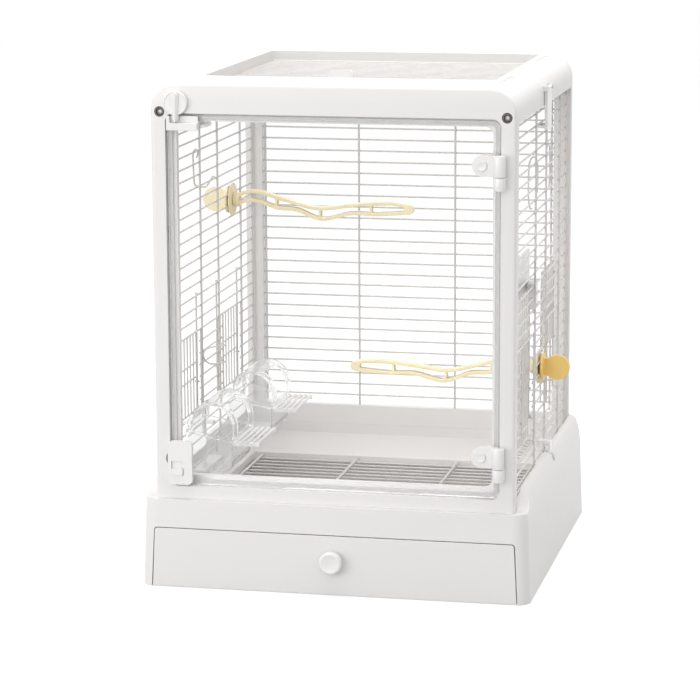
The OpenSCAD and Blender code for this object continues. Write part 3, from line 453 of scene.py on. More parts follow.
def drawer_front(foot_x, foot_z, head_x, head_z, radius, steps=5):
    """A panel that narrows upwards, with round upper corners."""
    turns = [math.pi / 2 * k / steps for k in range(steps + 1)]
    corner = [(head_x - radius + radius * math.cos(t), head_z - radius + radius * math.sin(t)) for t in turns]
    return [(-foot_x, foot_z), (foot_x, foot_z), *corner, *[(-x, z) for x, z in reversed(corner)]]


aperture = drawer_front(foot_x=191, foot_z=-1, head_x=188, head_z=63, radius=3.6)
aperture_cut = prism("aperture_cut", aperture, "y", -212, -199.4)
cut(base, ledge_cut, seat_cut, hopper_cut, cavity_cut, aperture_cut)
for side in (-1, 1):
    low, high = span(side, 193, 197)
    cut(base, block("pocket", (low, -194.5, -1), (high, 194.5, 81)))
    low, high = span(side, 188.5, 204)
    cut(base, block("clip_notch", (low, 2.2, 101), (high, 12.8, 113)))
soften(base, 1.9, angle=30)
place(base, "cage", satin_white, "white_plastic", "base_shell")

# %% [markdown]
# ## Drawer
# The drawer's front is a plain leaning panel that fills the opening with a thin dark gap. The knob
# is a separate turned piece with a waist and a shallow dish in its face.

# %% Drawer and knob
face = drawer_front(foot_x=190, foot_z=0.6, head_x=187, head_z=62, radius=2.8)
drawer = prism("drawer_tray", face, "y", -205.4, -200.4)
join(drawer, block("tray", (-185, -201.4, 2.8), (185, 188.5, 56)))
cut(drawer, block("tray_inside", (-182.5, -198.9, 5.3), (182.5, 186, 64)))
soften(drawer, 1.3)
place(drawer, "drawer", satin_white, "white_plastic", "drawer")

knob_profile = [(6.4, -205.35), (5.6, -206.0), (5.2, -207.2), (5.4, -208.4), (8.6, -208.8),
                (10.9, -209.3), (11.8, -210.3), (12.0, -211.6), (12.0, -213.6), (11.7, -215.2),
                (10.9, -216.4), (9.8, -216.85), (8.9, -216.7), (6.5, -216.1), (3.2, -215.7), (0.02, -215.6)]
drawer_knob = turned("drawer_knob_turned", knob_profile, "y", (0, 36), 64)
soften(drawer_knob, 0.2, 2, 40)
place(drawer_knob, "drawer", glossy_white, "gloss_white", "drawer_knob")

# %% [markdown]
# ## Upright frames and roof
# Both frames share one arched outline. The front one is stepped inside: a rebate for the door and a
# lip behind it. A closed ring of loops gives all of its faces at once, and the loops near the front
# face follow a quarter circle so that the edge is softly rounded, as on the real moulding. The outline
# reaches a little below the base's ledge and is cut flat there, so that the foot keeps sharp corners.

# %% Front frame
FRAME_X, ROOF_Z, ARCH_R, FOOT_SUNK, FOOT_GAP = 186.0, 520.0, 26.0, 3.0, 0.1
EASE_R, REBATE_Y = 3.2, -189.5
KNOB_X, KNOB_Z = -159, 500
SCREW_X, SCREW_Z = 176.6, 491


def arch(inset, y):
    outline = rounded(-FRAME_X + inset, LEDGE_Z - FOOT_SUNK, FRAME_X - inset, ROOF_Z - inset,
                      (0.8, 0.8, ARCH_R - inset, ARCH_R - inset), 10)
    return level(outline, "y", y)


def eased(y, direction, radius, steps=4):
    """Loops of the arch that round off its edge at depth y; direction points into the frame."""
    turns = [math.radians(90 * k / steps) for k in range(steps + 1)]
    return [arch(radius * (1 - math.sin(t)), y + direction * radius * (1 - math.cos(t))) for t in turns]


def cut_foot(upright, low_y, high_y):
    return cut(upright, block("foot_cut", (-190, low_y, 85), (190, high_y, LEDGE_Z + FOOT_GAP)))


rebate = rounded(-171, 106, 171, 489.5, 9, 10)
lip = rounded(-161.5, 116.5, 161.5, 481, 8, 10)
front_frame = loft("front_frame_moulding", [
    *eased(FRONT_Y, 1, EASE_R), arch(0, FRAME_BACK_Y), level(lip, "y", FRAME_BACK_Y),
    level(lip, "y", REBATE_Y), level(rebate, "y", REBATE_Y), level(rebate, "y", FRONT_Y)], ring=True)
cut(front_frame,
    block("bolt_pocket", (-166, -196.9, 102), (-158, -191.8, 108)),
    prism("finger_notch", circle(-166, 134.2, 9.5), "y", -199.5, -192.5),
    prism("bearing", circle(KNOB_X, KNOB_Z, 3.05, 32), "y", -199.5, -181),
    *[prism("screw_well", circle(side * SCREW_X, SCREW_Z, 5.3), "y", -199.5, -195.5) for side in (-1, 1)])
soften(front_frame, 1.2)
cut_foot(front_frame, -205, -175)
place(front_frame, "cage", satin_white, "white_plastic", "front_frame")

# %% [markdown]
# The rear frame has the same outline round one plain window, so the same loops make it.

# %% Rear frame
window = rounded(-167, 114, 167, 489.5, 6, 10)
rear_frame = loft("rear_frame_moulding", [
    *eased(REAR_Y, -1, EASE_R), arch(0, REAR_FRONT_Y), level(window, "y", REAR_FRONT_Y),
    level(window, "y", REAR_Y)], ring=True)
soften(rear_frame, 0.8)
cut_foot(rear_frame, 175, 205)
place(rear_frame, "cage", satin_white, "white_plastic", "rear_frame")

# %% [markdown]
# The roof cover is a folded shell between the frames: a flat top, two round shoulders and short
# skirts. Its big opening has a raised well with a narrow lip that the wire grille lies on.

# %% Roof cover
ROOF_T, SNUG, SKIRT_Z = 2.8, 0.15, 484.0


def arch_path(inset, steps=12):
    """The arch from the left skirt over the top to the right skirt."""
    half, top, r = FRAME_X - inset, ROOF_Z - inset, ARCH_R - inset
    turns = [math.radians(90 * k / steps) for k in range(steps + 1)]
    right = [(half - r + r * math.sin(t), top - r + r * math.cos(t)) for t in turns] + [(half, SKIRT_Z)]
    return [(-x, z) for x, z in reversed(right)] + right


roof = prism("roof_moulding", arch_path(0) + arch_path(ROOF_T)[::-1], "y",
             FRAME_BACK_Y + SNUG, REAR_FRONT_Y - SNUG)
join(roof, block("well", (-157, -123.5, 503), (157, 184.5, 518.5)))
hatch = rounded(-152, -118.5, 152, 179.5, 3)
hatch_lip = rounded(-146, -112.5, 146, 173.5, 3)
cut(roof, prism("hatch", hatch, "z", 505.5, 522), prism("hatch_lip", hatch_lip, "z", 500, 522))
for side in (-1, 1):
    for y in (-146.5, 94.5):
        left, right = span(side, 159, 167)
        cut(roof, prism("finger_slot", rounded(left, y, right, y + 75, 3.9), "z", 518.4, 522))
    for y in (-17.9, 15.3):
        left, right = span(side, 183, 190.8)
        join(roof, block("clip_ear", (left, y, 499.4), (right, y + 2.6, 504.6)))
    left, right = span(side, 171.6, 184.6)
    join(roof, block("screw_boss", (left, -181.8, 486.5), (right, -173, 496)))
soften(roof, 0.9, angle=35)
place(roof, "cage", satin_white, "white_plastic", "roof_cover")

# %% [markdown]
# Two dark screws hold the roof to the front frame. A head is a ring round a deep recess, and a lathe
# makes both in one profile: the recess shades itself, so it needs no darker finish.

# %% Screws
screw_profile = [(2.0, -175.2), (2.0, -195.5), (5.0, -195.6), (5.0, -197.3), (4.5, -198.0), (3.9, -198.15),
                 (3.5, -197.4), (2.9, -196.2), (1.7, -196.1), (1.5, -194.2), (0.02, -194.1)]
for side, name in ((-1, "frame_screw_left"), (1, "frame_screw_right")):
    screw = turned(name, screw_profile, "y", (side * SCREW_X, SCREW_Z), 40)
    soften(screw, 0.12, 2, 40)
    place(screw, "cage", dark_steel, "screw_steel", "frame_screws")

# %% [markdown]
# ## Front door
# The real door is one clear moulding with a rim round its back. The rim looks milkier than the sheet,
# because its edges scatter light, so the two are made apart, a hair from each other, each with its own
# finish. The rim's finish is also tinted grey, as painted shade for the dark refractions along its
# edges. A notch in the lower left corner lets the bolt through.

# %% Front door
SHEET_FRONT_Y, SHEET_BACK_Y, RIM_BACK_Y, RIM_GAP = -196.5, -193.5, -191, 0.05
RIM_FRONT_Y = SHEET_BACK_Y + RIM_GAP
BOLT_X0, BOLT_X1 = -165.3, -158.7
door_edge = rounded(-169, 108, 169, 487.5, 7)
rim_edge = rounded(-164.5, 112.5, 164.5, 483, 4)
door = prism("front_door_sheet", door_edge, "y", SHEET_FRONT_Y, SHEET_BACK_Y)
rim = loft("front_door_rim", [level(door_edge, "y", RIM_FRONT_Y), level(door_edge, "y", RIM_BACK_Y),
                              level(rim_edge, "y", RIM_BACK_Y), level(rim_edge, "y", RIM_FRONT_Y)], ring=True)
for piece, finish in ((door, clear_sheet), (rim, clear_rim_painted_shade)):
    cut(piece, block("bolt_notch", (BOLT_X0, -198, 106), (BOLT_X1, -190, 133)))
    soften(piece, 0.5, 2)
    place(piece, "door", finish, "clear_plastic", "front_door")

# %% [markdown]
# The hinges lift off: each leaf ends in a barrel that drops on a pin, and the pin stands on a barrel
# that is moulded to a bracket on the frame. A dished cap hides the screw in each leaf.

# %% Hinges
HINGE_X, HINGE_Y, BARREL_R, PIN_R = 170.5, -205.2, 6.0, 2.5
LEAF_FRONT_Y, LEAF_BACK_Y, LEAF_H = -203.25, -196.55, 21.5
CAP_X, CAP_UP, STAND_H = 152.25, 10.9, 13.2
cap_profile = [(5.35, -201.3), (5.35, -204.1), (5.1, -204.55), (4.6, -204.75), (4.1, -204.6), (2.5, -204.2),
               (0.02, -204.05)]


def barrel(name, low, high, radius=BARREL_R):
    edge = min(0.8, radius / 4)
    profile = [(radius - edge, low), (radius - 0.25 * edge, low + 0.3 * edge), (radius, low + edge),
               (radius, high - edge), (radius - 0.25 * edge, high - 0.3 * edge), (radius - edge, high)]
    return turned(name, profile, "z", (HINGE_X, HINGE_Y))


for foot, where in ((433.0, "upper"), (139.6, "lower")):
    low, high = foot + 0.3, foot + LEAF_H
    leaf = prism("door_leaf_" + where + "_moulding",
                 rounded(142.5, low, 169.5, high, (10.5, 0.8, 0.8, 10.5)), "y", LEAF_FRONT_Y, LEAF_BACK_Y)
    join(leaf, barrel("leaf_barrel", low, high))
    cut(leaf, prism("bore", circle(HINGE_X, HINGE_Y, PIN_R + 0.05), "z", foot - 1, foot + 17),
        prism("cap_well", circle(CAP_X, foot + CAP_UP, 5.5), "y", LEAF_FRONT_Y - 2, LEAF_FRONT_Y + 2))
    soften(leaf, 0.9)
    place(leaf, "door", glossy_white, "white_plastic", "door_leaf_" + where)

    cap = turned("leaf_cap_" + where, cap_profile, "y", (CAP_X, foot + CAP_UP))
    soften(cap, 0.1, 2, 50)
    place(cap, "door", glossy_white, "gloss_white", "leaf_screw_caps")

    bracket = block("frame_hinge_" + where + "_moulding", (HINGE_X, HINGE_Y, foot - STAND_H),
                    (176.5, -198.4, foot))
    join(bracket, barrel("bracket_barrel", foot - STAND_H, foot), barrel("pin", foot - 3, foot + 16, PIN_R))
    soften(bracket, 0.7)
    place(bracket, "cage", glossy_white, "white_plastic", "frame_hinge_" + where)

# %% [markdown]
# ## Turn knob, catch and latch
# Above the door a knob with a raised pointer turns down into a grooved block on the door. Below, a
# small slide carries a bolt into the frame. Hands touch these most, so they get the glossier finish.

# %% Turn knob and catch
turn_knob = turned("turn_knob_moulding", [
    (2.98, -179.2), (2.98, -198.6), (11.4, -198.8), (12.2, -199.6), (12.2, -202.5), (11.9, -203.1),
    (11.3, -203.3), (10.9, -203.0), (10.6, -202.6), (0.02, -202.6)], "y", (KNOB_X, KNOB_Z))


def half_circle(x, z, radius, start, steps=12):
    turns = [start + math.pi * k / steps for k in range(steps + 1)]
    return [(x + radius * math.cos(t), z + radius * math.sin(t)) for t in turns]


RIDGE_SHARE = 0.3
pointer = half_circle(KNOB_X, 483.9, 2.9, math.pi) + half_circle(KNOB_X, 507.2, 4.0, 0)
ridge = [(KNOB_X + RIDGE_SHARE * (x - KNOB_X), z) for x, z in pointer]
join(turn_knob, loft("pointer", [level(pointer, "y", -199.2), level(pointer, "y", -203.4),
                                 level(ridge, "y", -206.3)]))
soften(turn_knob, 0.8)
place(turn_knob, "knob", glossy_white, "gloss_white", "turn_knob")

catch = prism("catch_block_moulding", rounded(-168.6, 472.5, -136.6, 487, 1.2), "y", -203, -196.55)
cut(catch, block("groove", (-165, -204, 480.3), (-130, -198, 490)))
soften(catch, 0.7)
place(catch, "door", glossy_white, "gloss_white", "catch_block")

# %% [markdown]
# The latch is a thin body on the door with a slot in its face, and the bolt is a thumb piece that runs
# in the slot and ends in a shank behind it. Blocks are joined and cut as the parts fit in one another,
# so that the slot is a real opening and the bolt can slide.

# %% Latch and bolt
SLOT_X0, SLOT_X1 = -168.3, -155.7
latch = prism("latch_body_moulding", rounded(-172, 108.5, -146.5, 153.9, 5), "y", -204.5, -198.8)
join(latch, block("latch_back", (-168, -199.3, 109.5), (-147.5, -196.55, 149.9)))
cut(latch, block("slot", (SLOT_X0, -205.5, 118.5), (SLOT_X1, -200.1, 133)),
    block("way_up", (SLOT_X0, -202.9, 132), (SLOT_X1, -200.1, 140.6)),
    block("channel", (BOLT_X0, -201.1, 107.5), (BOLT_X1, -196, 133)))
soften(latch, 0.7)
place(latch, "door", glossy_white, "gloss_white", "latch_body")

bolt = prism("latch_bolt_moulding", rounded(-168, 118.8, -156, 125.7, 1.6), "y", -206.3, -200.5)
join(bolt, block("slot_filler", (-168, -202.7, 118.8), (-156, -200.5, 133.2)),
     block("shank", (-165, -200.7, 109), (-159, -192.5, 125.6)),
     block("tip", (-164.9, -196.1, 103), (-159.1, -192.6, 111)))
soften(bolt, 0.6)
place(bolt, "latch", glossy_white, "gloss_white", "latch_bolt")

# %% [markdown]
# ## Feeder cups
# Each cup is a clear trough with a sloping front, two hooks over a wire, an arched hood and a
# ladder for the bird to stand on. Thin clear walls look right only when they are real walls, so
# every one is hollow, with its edges rounded to catch the light.

# %% Cups, hoods and ladders
CUP_X0, CUP_X1, CUP_Z0, CUP_Z1, CUP_T = -175.1, -124.1, 102.4, 139.4, 1.8
CUP_HALF, LIP_T, CUP_RISE, BEND_R = 39, 3.0, 9.5, 14
HOOD_X, HOOD_Z, HOOD_R, HOOD_T, HOOD_LIP, HOOD_BAND = -147.0, 151.9, 26.0, 1.6, 3.4, 12
LADDER_X0, LADDER_X1, LADDER_Z0, LADDER_Z1 = -123.8, -95.8, 133, 137
RUNGS, RUNG_X, RUNG_Z, RUNG_PITCH = 5, -121.8, 136.4, 6.0


def trough(inset, top):
    """The cup's outline from the end; its rim rises towards the panel."""
    x0, x1, z0 = CUP_X0 + inset, CUP_X1 - inset, CUP_Z0 + inset
    turns = [k * math.pi / 16 for k in range(9)]
    bend = [(x1 - BEND_R + BEND_R * math.sin(t), z0 + BEND_R - BEND_R * math.cos(t)) for t in turns]
    return [(x0, top + CUP_RISE), (x0, z0), *bend, (x1, top)]


def hood_arc(radius, foot, rise=0.0, steps=24):
    turns = [math.pi * k / steps for k in range(steps + 1)]
    arc = [(HOOD_X + radius * math.cos(t), HOOD_Z + radius * math.sin(t)) for t in turns]
    return [(HOOD_X + radius, foot), *arc, (HOOD_X - radius, foot + rise)]


for middle, where in ((-85.5, "front"), (87.5, "rear")):
    y0, y1 = middle - CUP_HALF, middle + CUP_HALF
    cup = prism("cup_" + where + "_clear", trough(0, CUP_Z1), "y", y0, y1)
    cut(cup, prism("cup_inside", trough(CUP_T, CUP_Z1 - 3.5), "y", y0 + CUP_T, y1 - CUP_T),
        prism("cup_mouth", trough(LIP_T, CUP_Z1 + 2), "y", y0 + LIP_T, y1 - LIP_T))
    for y in (middle - 30, middle + 24):
        join(cup, block("hook_back", (CUP_X0, y, 133.4), (CUP_X0 + CUP_T, y + 6, 154)),
             block("hook_top", (-182.5, y, 152.5), (CUP_X0 + 0.5, y + 6, 154)),
             block("hook_tip", (-182.5, y, 147.5), (-181.3, y + 6, 153)))
    soften(cup, 0.5, 2)
    place(cup, "cage", clear_cup, "clear_plastic", "cup_" + where)

    hood = prism("cup_hood_" + where + "_clear", hood_arc(HOOD_R, CUP_Z1 + SNUG, CUP_RISE), "y", y0, y1)
    inner0, inner1 = y0 + HOOD_BAND, y1 - HOOD_BAND
    cut(hood, prism("hood_inside", hood_arc(HOOD_R - HOOD_T, CUP_Z1 - 2), "y", inner0, inner1),
        prism("hood_way", hood_arc(HOOD_R - HOOD_LIP, CUP_Z1 - 2), "y", y0 - 2, y1 + 2),
        block("hood_front", (HOOD_X + 4, inner0, CUP_Z1 - 2), (CUP_X1 + 12, inner1, HOOD_Z + HOOD_R - 4)))
    soften(hood, 0.5, 2)
    place(hood, "cage", clear_cup, "clear_plastic", "cup_hood_" + where)

    ladder = block("cup_ladder_" + where + "_clear", (LADDER_X0, y0 + 1.6, LADDER_Z0),
                   (LADDER_X1, y0 + 3.6, LADDER_Z1))
    join(ladder, block("ladder_end", (LADDER_X0, y1 - 3.6, LADDER_Z0), (LADDER_X1, y1 - 1.6, LADDER_Z1)))
    bead = [(0.6, 0), (1.25, 0.2), (1.7, 0.6), (1.9, 1.2), (1.9, 2.6), (1.6, 3.6)]
    rung = [(r, y0 + t) for r, t in bead] + [(r, y1 - t) for r, t in reversed(bead)]
    for k in range(RUNGS):
        join(ladder, turned("rung", rung, "y", (RUNG_X + RUNG_PITCH * k, RUNG_Z), 20))
    ladder.data.shade_smooth()
    ladder.data.set_sharp_from_angle(angle=math.radians(40))
    place(ladder, "cage", clear_bar, "clear_plastic", "cup_ladder_" + where)

# %% [markdown]
# ## Perches
# A perch is two waving rails that cross over webs and close in a loop, moulded in one piece with
# soft edges. Sharp strokes are fused by a voxel remesh and smoothed, which melts their joints
# together as moulded plastic has them. The remesh is fine enough to keep the thin rails.

# %% Curves through a few points
def smooth_path(points, steps=8):
    """A Catmull-Rom curve, the same as the solid's."""
    path = []
    for i in range(len(points) - 1):
        p0, p1, p2, p3 = (Vector(points[k]) for k in (max(i - 1, 0), i, i + 1, min(i + 2, len(points) - 1)))
        for s in range(steps):
            t = s / steps
            path.append(0.5 * (2 * p1 + (p2 - p0) * t + (2 * p0 - 5 * p1 + 4 * p2 - p3) * t * t
                               + (3 * p1 - p0 - 3 * p2 + p3) * t ** 3))
    return path + [Vector(points[-1])]


def stroke(path, width):
    """The outline of a line of that width drawn along the path."""
    left, right = [], []
    for i, p in enumerate(path):
        along = (path[min(i + 1, len(path) - 1)] - path[max(i - 1, 0)]).normalized()
        side = Vector((-along.y, along.x)) * width / 2
        left.append(tuple(p + side))
        right.append(tuple(p - side))
    return left + right[::-1]


def fuse(obj, parts, voxel, rounds):
    """Melts overlapping parts into one soft skin."""
    with bpy.context.temp_override(active_object=obj, selected_editable_objects=[obj, *parts]):
        bpy.ops.object.join()
    remesh = obj.modifiers.new("fuse", "REMESH")
    remesh.mode = "VOXEL"
    remesh.voxel_size = voxel * MM
    relax = obj.modifiers.new("relax", "SMOOTH")
    relax.factor = 0.5
    relax.iterations = rounds
    bake(obj)
    obj.data.shade_smooth()
    return obj


# %% Perch bars
BAR_L, RAIL_T, BAR_DEPTH = 201.0, 3.8, 9.0
UPPER_RAIL = [(0.01, 3.5), (0.12, 9.6), (0.3, 0.6), (0.48, -7.5), (0.7, -2.6), (0.88, -0.2), (0.985, -3)]
LOWER_RAIL = [(0.01, -4.5), (0.12, 0), (0.25, -7.8), (0.36, -9.6), (0.5, -19), (0.66, -12.2), (0.8, -12.4),
              (0.985, -9.8)]
WEBS = [(0.245, -6.2, 4), (0.49, -18, -7.5), (0.775, -12.4, -1.2)]
PERCHES = {"upper": ((-176.4, 94, 362.4), 1), "lower": ((176.4, 14, 202.4), -1)}


def perch_outlines():
    for rail in (UPPER_RAIL, LOWER_RAIL):
        yield stroke(smooth_path([(share * BAR_L, z) for share, z in rail]), RAIL_T + 0.2)
    for share, low, high in WEBS:
        yield rounded(share * BAR_L - 1.3, low, share * BAR_L + 1.3, high, 0.5, 2)
    yield circle(0.985 * BAR_L, -6.4, 5.4, 32)


for where, (spot, turn) in PERCHES.items():
    x, y, z = spot
    half = BAR_DEPTH / 2
    parts = [prism("stroke", [(x + turn * u, z + v) for u, v in outline], "y", y - half, y + half)
             for outline in perch_outlines()]
    socket = [(7.0, x), (8.0, x + turn * 1.0), (8.0, x + turn * 6.0), (7.2, x + turn * 7.2)]
    parts.append(turned("socket", socket, "x", (y, z), 40))
    bar = fuse(parts[0], parts[1:], 0.55, 4)
    bar.name = "perch_" + where + "_moulding"
    cut(bar, prism("stud_bore", circle(y, z, 2.6, 24), "x", *sorted((x - turn * 2, x + turn * 5.5))))
    bar.data.shade_smooth()
    place(bar, "cage", pale_yellow, "perch_plastic", "perch_" + where)

# %% [markdown]
# Outside the panel each perch has a round washer against the wires and a thumb knob with a flat paddle
# to hold. The knob's collar and stud are turned, and a neck and a disc are joined to them.

# %% Washers and thumb knobs
PADDLE_T = 5
for where, (spot, turn) in PERCHES.items():
    x, y, z = spot
    washer_x = x - turn * 2.3
    washer = turned("perch_washer_" + where + "_moulding",
                    [(17.6, washer_x), (18.5, washer_x + turn * 0.5), (18.5, washer_x + turn * 1.5),
                     (17.6, washer_x + turn * 2.0)], "x", (y, z), 64)
    bore = sorted((washer_x - turn, washer_x + turn * 4))
    cut(washer, prism("washer_bore", circle(y, z, 2.7, 24), "x", *bore))
    soften(washer, 0.3, 2)
    place(washer, "cage", pale_yellow, "perch_plastic", "perch_washer_" + where)

    face = washer_x - turn * 2.6
    reach = [face - turn * d for d in (0, 3, 12, 16.5)]
    knob = turned("thumb_knob_" + where + "_moulding",
                  [(14.2, reach[0]), (15.0, face - turn * 0.8), (15.0, face - turn * 2.2), (14.2, reach[1])],
                  "x", (y, z), 64)
    neck = prism("neck", [(face - turn * 2.5, z - 8.6), (face - turn * 2.5, z + 8.6), (reach[2], z + 11.2),
                          (reach[2], z - 11.2)], "y", y - PADDLE_T / 2, y + PADDLE_T / 2)
    paddle = prism("paddle", circle(reach[3], z, 13.5, 64), "y", y - PADDLE_T / 2, y + PADDLE_T / 2)
    stud = turned("stud", [(2.5, face - turn), (2.5, x + turn * 5)], "x", (y, z), 32)
    join(knob, neck, paddle, stud)
    soften(knob, 0.9)
    finish, slot = (pale_yellow, "perch_plastic") if where == "upper" else (mustard, "mustard_plastic")
    place(knob, "perch_knob_" + where, finish, slot, "thumb_knob_" + where)

# %% [markdown]
# ## Bent wires, rack and clips
# The loose hooks are single bent wires. A tube swept along the smooth path, with a round section
# and rounded ends, does them justice where the CAD solid has eight flat sides.

# %% Hooks
WIRE_R = 0.88


def swept(name, x, points, radius, sides=14):
    path = smooth_path(points, 10)
    loops = []
    for i, p in enumerate(path):
        along = (path[min(i + 1, len(path) - 1)] - path[max(i - 1, 0)]).normalized()
        side = Vector((-along.y, along.x))
        turns = [2 * math.pi * k / sides for k in range(sides)]
        loops.append([(x + radius * math.sin(t), p.x + side.x * radius * math.cos(t),
                       p.y + side.y * radius * math.cos(t)) for t in turns])
    obj = loft(name, loops)
    obj.data.shade_smooth()
    return soften(obj, 0.35, 3, 50)


HOOKS = {
    "hook_left": (-175.9, [(-62.6, 428.1), (-56.5, 430.5), (-58.7, 435.2), (-68.2, 436.7), (-75.5, 433.4),
                           (-74.7, 418.8), (-72.4, 403.3), (-64.3, 398.1), (-46.3, 394.8), (-26.9, 392.2),
                           (-14.5, 394.4), (-4.4, 397.6), (5.7, 399.2), (10.7, 397.6)]),
    "wire_loop": (-175.9, [(45, 206.9), (19.4, 210.6), (-10.1, 215), (-35, 217), (-44.6, 213.9),
                           (-39.7, 206.4), (-19.3, 198.6), (5.7, 193.4), (31.2, 189.4), (48.5, 188.3)]),
    "hook_right_front": (177.8, [(-8, 392), (-4, 400), (-4, 418), (-14, 428), (-36, 433), (-60, 430),
                                 (-66, 418), (-66, 394), (-54, 382), (-42, 380)]),
    "hook_right_rear": (177.8, [(58, 424), (60, 431), (70, 434), (81, 430), (84, 420), (84, 396), (78, 386)]),
}
for name, (x, points) in HOOKS.items():
    place(swept(name + "_wire", x, points, WIRE_R), "cage", coated_wire, "coated_wire", name)

# %% [markdown]
# The greens rack hangs from a plain plastic plate inside the right panel, and a square bracket holds it
# through the wires. Both are flat mouldings with round corners, so a softened prism is enough.

# %% Rack plate and bracket
plate = prism("rack_plate_moulding", rounded(-99, 296.1, 1, 332.1, 4), "x", 166.5, 169.5)
soften(plate, 0.8)
place(plate, "cage", glossy_white, "white_plastic", "rack_plate")
arm = prism("rack_bracket_moulding", rounded(-30, 271, -2, 299, 2), "x", 171.1, 178.9)
soften(arm, 0.8)
place(arm, "cage", glossy_white, "white_plastic", "rack_bracket")

# %% [markdown]
# A clip is a flat tongue on a pin, with a tooth that catches one level wire of the panel: a wide one at
# the roof and a narrow one at the base, on each side. The tooth's height follows from its wire.

# %% Clips
BASE_CLIP_Y, TOOTH_GAP = 7.5, 1.4
ROOF_PIN_X, ROOF_PIN_Z, BASE_PIN_X, BASE_PIN_Z = 188.2, 502, 192, 106
for side, where, roof_wire, base_wire in ((-1, "left", 458.4, 125.6), (1, "right", 464.8, 119.2)):
    tooth_z = roof_wire - TOOTH_GAP
    x0, x1 = span(side, 186.4, 189.4)
    clip = prism("roof_clip_" + where + "_moulding",
                 rounded(-15, tooth_z - 5, 15, ROOF_PIN_Z, (2, 2, 0.6, 0.6)), "x", x0, x1)
    t0, t1 = span(side, 179, 187.4)
    join(clip, turned("knuckle", [(1.8, -15), (1.8, 15)], "y", (side * ROOF_PIN_X, ROOF_PIN_Z), 24),
         turned("clip_pin", [(1.2, -17.6), (1.2, 17.6)], "y", (side * ROOF_PIN_X, ROOF_PIN_Z), 24),
         block("tooth", (t0, -13, tooth_z - 3), (t1, 13, tooth_z)))
    soften(clip, 0.6)
    place(clip, "roof_clip_" + where, glossy_white, "white_plastic", "roof_clip_" + where)

    tooth_z = base_wire + TOOTH_GAP
    x0, x1 = span(side, 190, 193)
    y0, y1 = BASE_CLIP_Y - 5, BASE_CLIP_Y + 5
    clip = prism("base_clip_" + where + "_moulding",
                 rounded(y0, BASE_PIN_Z, y1, tooth_z + 4, (0.6, 0.6, 2, 2)), "x", x0, x1)
    t0, t1 = span(side, 179, 192)
    join(clip, turned("knuckle", [(2.2, y0), (2.2, y1)], "y", (side * BASE_PIN_X, BASE_PIN_Z), 24),
         turned("clip_pin", [(1.2, y0 - 2.2), (1.2, y1 + 2.2)], "y", (side * BASE_PIN_X, BASE_PIN_Z), 24),
         block("tooth", (t0, y0, tooth_z), (t1, y1, tooth_z + 3)))
    soften(clip, 0.6)
    place(clip, "base_clip_" + where, glossy_white, "white_plastic", "base_clip_" + where)

# %% [markdown]
# A small tab on the wire roof grille lets a finger lift it: an upright plate on a thin foot.

# %% Roof grip
GRIP_X0, GRIP_X1, GRIP_Y, GRIP_Z = -39, -12, -39.9, 509.45
grip = prism("roof_grip_moulding", rounded(GRIP_X0, GRIP_Z, GRIP_X1, ROOF_Z, (0.4, 0.4, 4.5, 4.5)),
             "y", GRIP_Y, GRIP_Y + 3)
join(grip, block("grip_foot", (GRIP_X0, GRIP_Y - 12.8, GRIP_Z), (GRIP_X1, GRIP_Y + 1, GRIP_Z + 1.5)))
soften(grip, 0.6)
place(grip, "roof_hatch", glossy_white, "gloss_white", "roof_grip")

# %% [markdown]
# ## Wire panels
# The wire panels, the gates, the grate and the rack are exact round wires in the CAD already, welded
# where they cross, so they stay and only get the coating.

# %% Coat the wires
WIRE_PIECES = ("left_panel", "right_panel", "left_guides", "right_guides", "rear_panel", "roof_grille",
               "floor_grate", "greens_rack", "feeder_door_left_front", "feeder_door_left_rear",
               "feeder_door_right_front", "feeder_door_right_rear")


def finish_node(name, material):
    """Gives a CAD solid that stays visible its finish."""
    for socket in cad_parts[name].material_slots:
        socket.material = material


for name in WIRE_PIECES:
    finish_node(name, coated_wire)
finish_node("knob_retainer", glossy_white)
print("coated the CAD wires")

# %% [markdown]
# ## Studio
# The photograph is high key: the cage stands on white in front of white. The ground shows white to the
# camera and in reflections, while the light that it gives the cage stays at a plain level. Without
# that split the white ground would wash every shadow out.

# %% Ground and world
FLOOR_HALF, FLOOR_TONE, FLOOR_GLOW, AMBIENT = 6000, 0.42, 0.62, 0.77


def seen_by_eye(tree, rays):
    """One for rays that show a surface to the camera, straight or by way of a shine or clear plastic.

    A ray that has already lit a matt surface brings light and shows nothing, so it counts as zero.
    """
    side_rays = math_node(tree, "MAXIMUM", rays.outputs["Is Glossy Ray"], rays.outputs["Is Transmission Ray"])
    bright = math_node(tree, "MAXIMUM", rays.outputs["Is Camera Ray"], side_rays)
    unscattered = math_node(tree, "LESS_THAN", rays.outputs["Diffuse Depth"], 0.5)
    return math_node(tree, "MULTIPLY", bright, unscattered)


floor = block("studio_floor", (-FLOOR_HALF, -FLOOR_HALF, -40), (FLOOR_HALF, FLOOR_HALF, -0.05))
ground, tree, sheet = new_material("Studio floor")
sheet.inputs["Base Color"].default_value = (FLOOR_TONE, FLOOR_TONE, FLOOR_TONE, 1)
sheet.inputs["Roughness"].default_value = 0.9
sheet.inputs["Emission Color"].default_value = (1, 1, 1, 1)
rays = tree.nodes.new("ShaderNodeLightPath")
glow = math_node(tree, "MULTIPLY", seen_by_eye(tree, rays), FLOOR_GLOW)
tree.links.new(glow, sheet.inputs["Emission Strength"])
floor.data.materials.append(ground)

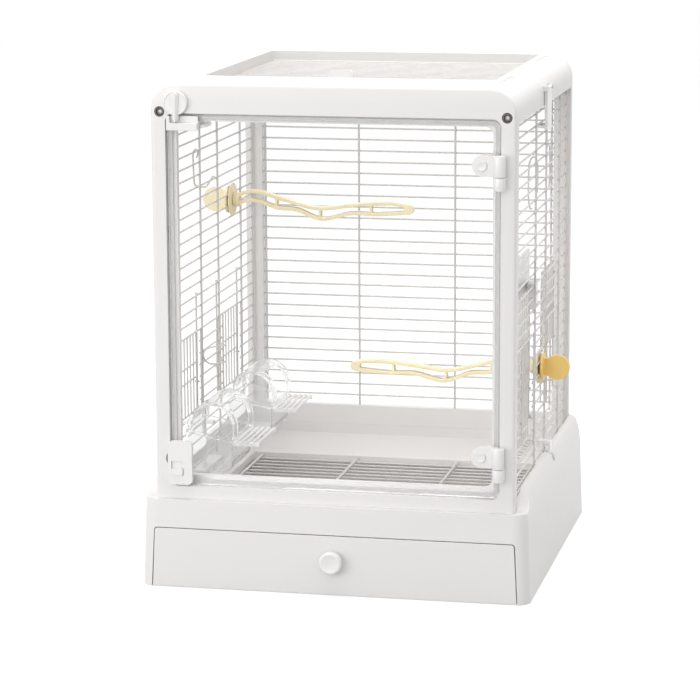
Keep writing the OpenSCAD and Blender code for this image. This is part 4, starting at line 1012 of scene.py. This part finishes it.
world = bpy.data.worlds.new("White studio")
bpy.context.scene.world = world
world.use_nodes = True
tree = world.node_tree
sky = tree.nodes["Background"]
sky.inputs["Color"].default_value = (1, 1, 1, 1)
rays = tree.nodes.new("ShaderNodeLightPath")
shown = seen_by_eye(tree, rays)
tree.links.new(math_node(tree, "ADD", math_node(tree, "MULTIPLY", shown, 1 - AMBIENT), AMBIENT),
               sky.inputs["Strength"])
print("floor and world")


# %% [markdown]
# Three broad lamps shape the cage: a near one at the left, so that the front falls off to a warm grey
# towards the right, a weak one in front, and a strong one overhead that reaches the inside through the
# wire roof. Large squares give the soft shadow edges of a product photograph.

# %% Lamps
def soft_lamp(name, spot, aim, size, watts):
    lamp = bpy.data.lights.new(name, "AREA")
    lamp.shape = "SQUARE"
    lamp.size = size
    lamp.energy = watts
    obj = bpy.data.objects.new(name, lamp)
    obj.location = spot
    obj.rotation_euler = (Vector(aim) - Vector(spot)).to_track_quat("-Z", "Y").to_euler()
    bpy.context.scene.collection.objects.link(obj)


soft_lamp("key", (-1.25, -1.55, 0.5), (0, 0, 0.25), 0.9, 7)
soft_lamp("front", (-0.5, -3.3, 1.3), (0, 0, 0.25), 2.2, 17)
soft_lamp("top", (0.0, 0.1, 2.6), (0, 0, 0.3), 1.8, 44)
print("three lamps")

# %% [markdown]
# ## Camera
# The camera was fitted to the photograph: a long lens, a little above the cage and to its right. Its
# axes are worked out from the three angles, so that each angle can be changed by itself.

# %% Camera
CAMERA_SPOT = Vector((0.62429, -2.97854, 0.80238))
AZIMUTH, ELEVATION, ROLL, LENS = 12.298, 10.9, -0.254, 148.34
azimuth, elevation, roll = (math.radians(v) for v in (AZIMUTH, ELEVATION, ROLL))
back = Vector((math.sin(azimuth) * math.cos(elevation), -math.cos(azimuth) * math.cos(elevation),
               math.sin(elevation)))
right = Vector((0, 0, 1)).cross(back).normalized()
up = back.cross(right)
right, up = (right * math.cos(roll) + up * math.sin(roll), -right * math.sin(roll) + up * math.cos(roll))
view = bpy.data.cameras.new("photo_camera")
view.lens = LENS
view.clip_end = 100
camera = bpy.data.objects.new("photo_camera", view)
camera.matrix_world = Matrix.Translation(CAMERA_SPOT) @ Matrix((right, up, back)).transposed().to_4x4()
bpy.context.scene.collection.objects.link(camera)
bpy.context.scene.camera = camera
bpy.context.scene.view_settings.view_transform = "Standard"
print("camera at", tuple(round(v, 3) for v in camera.location))
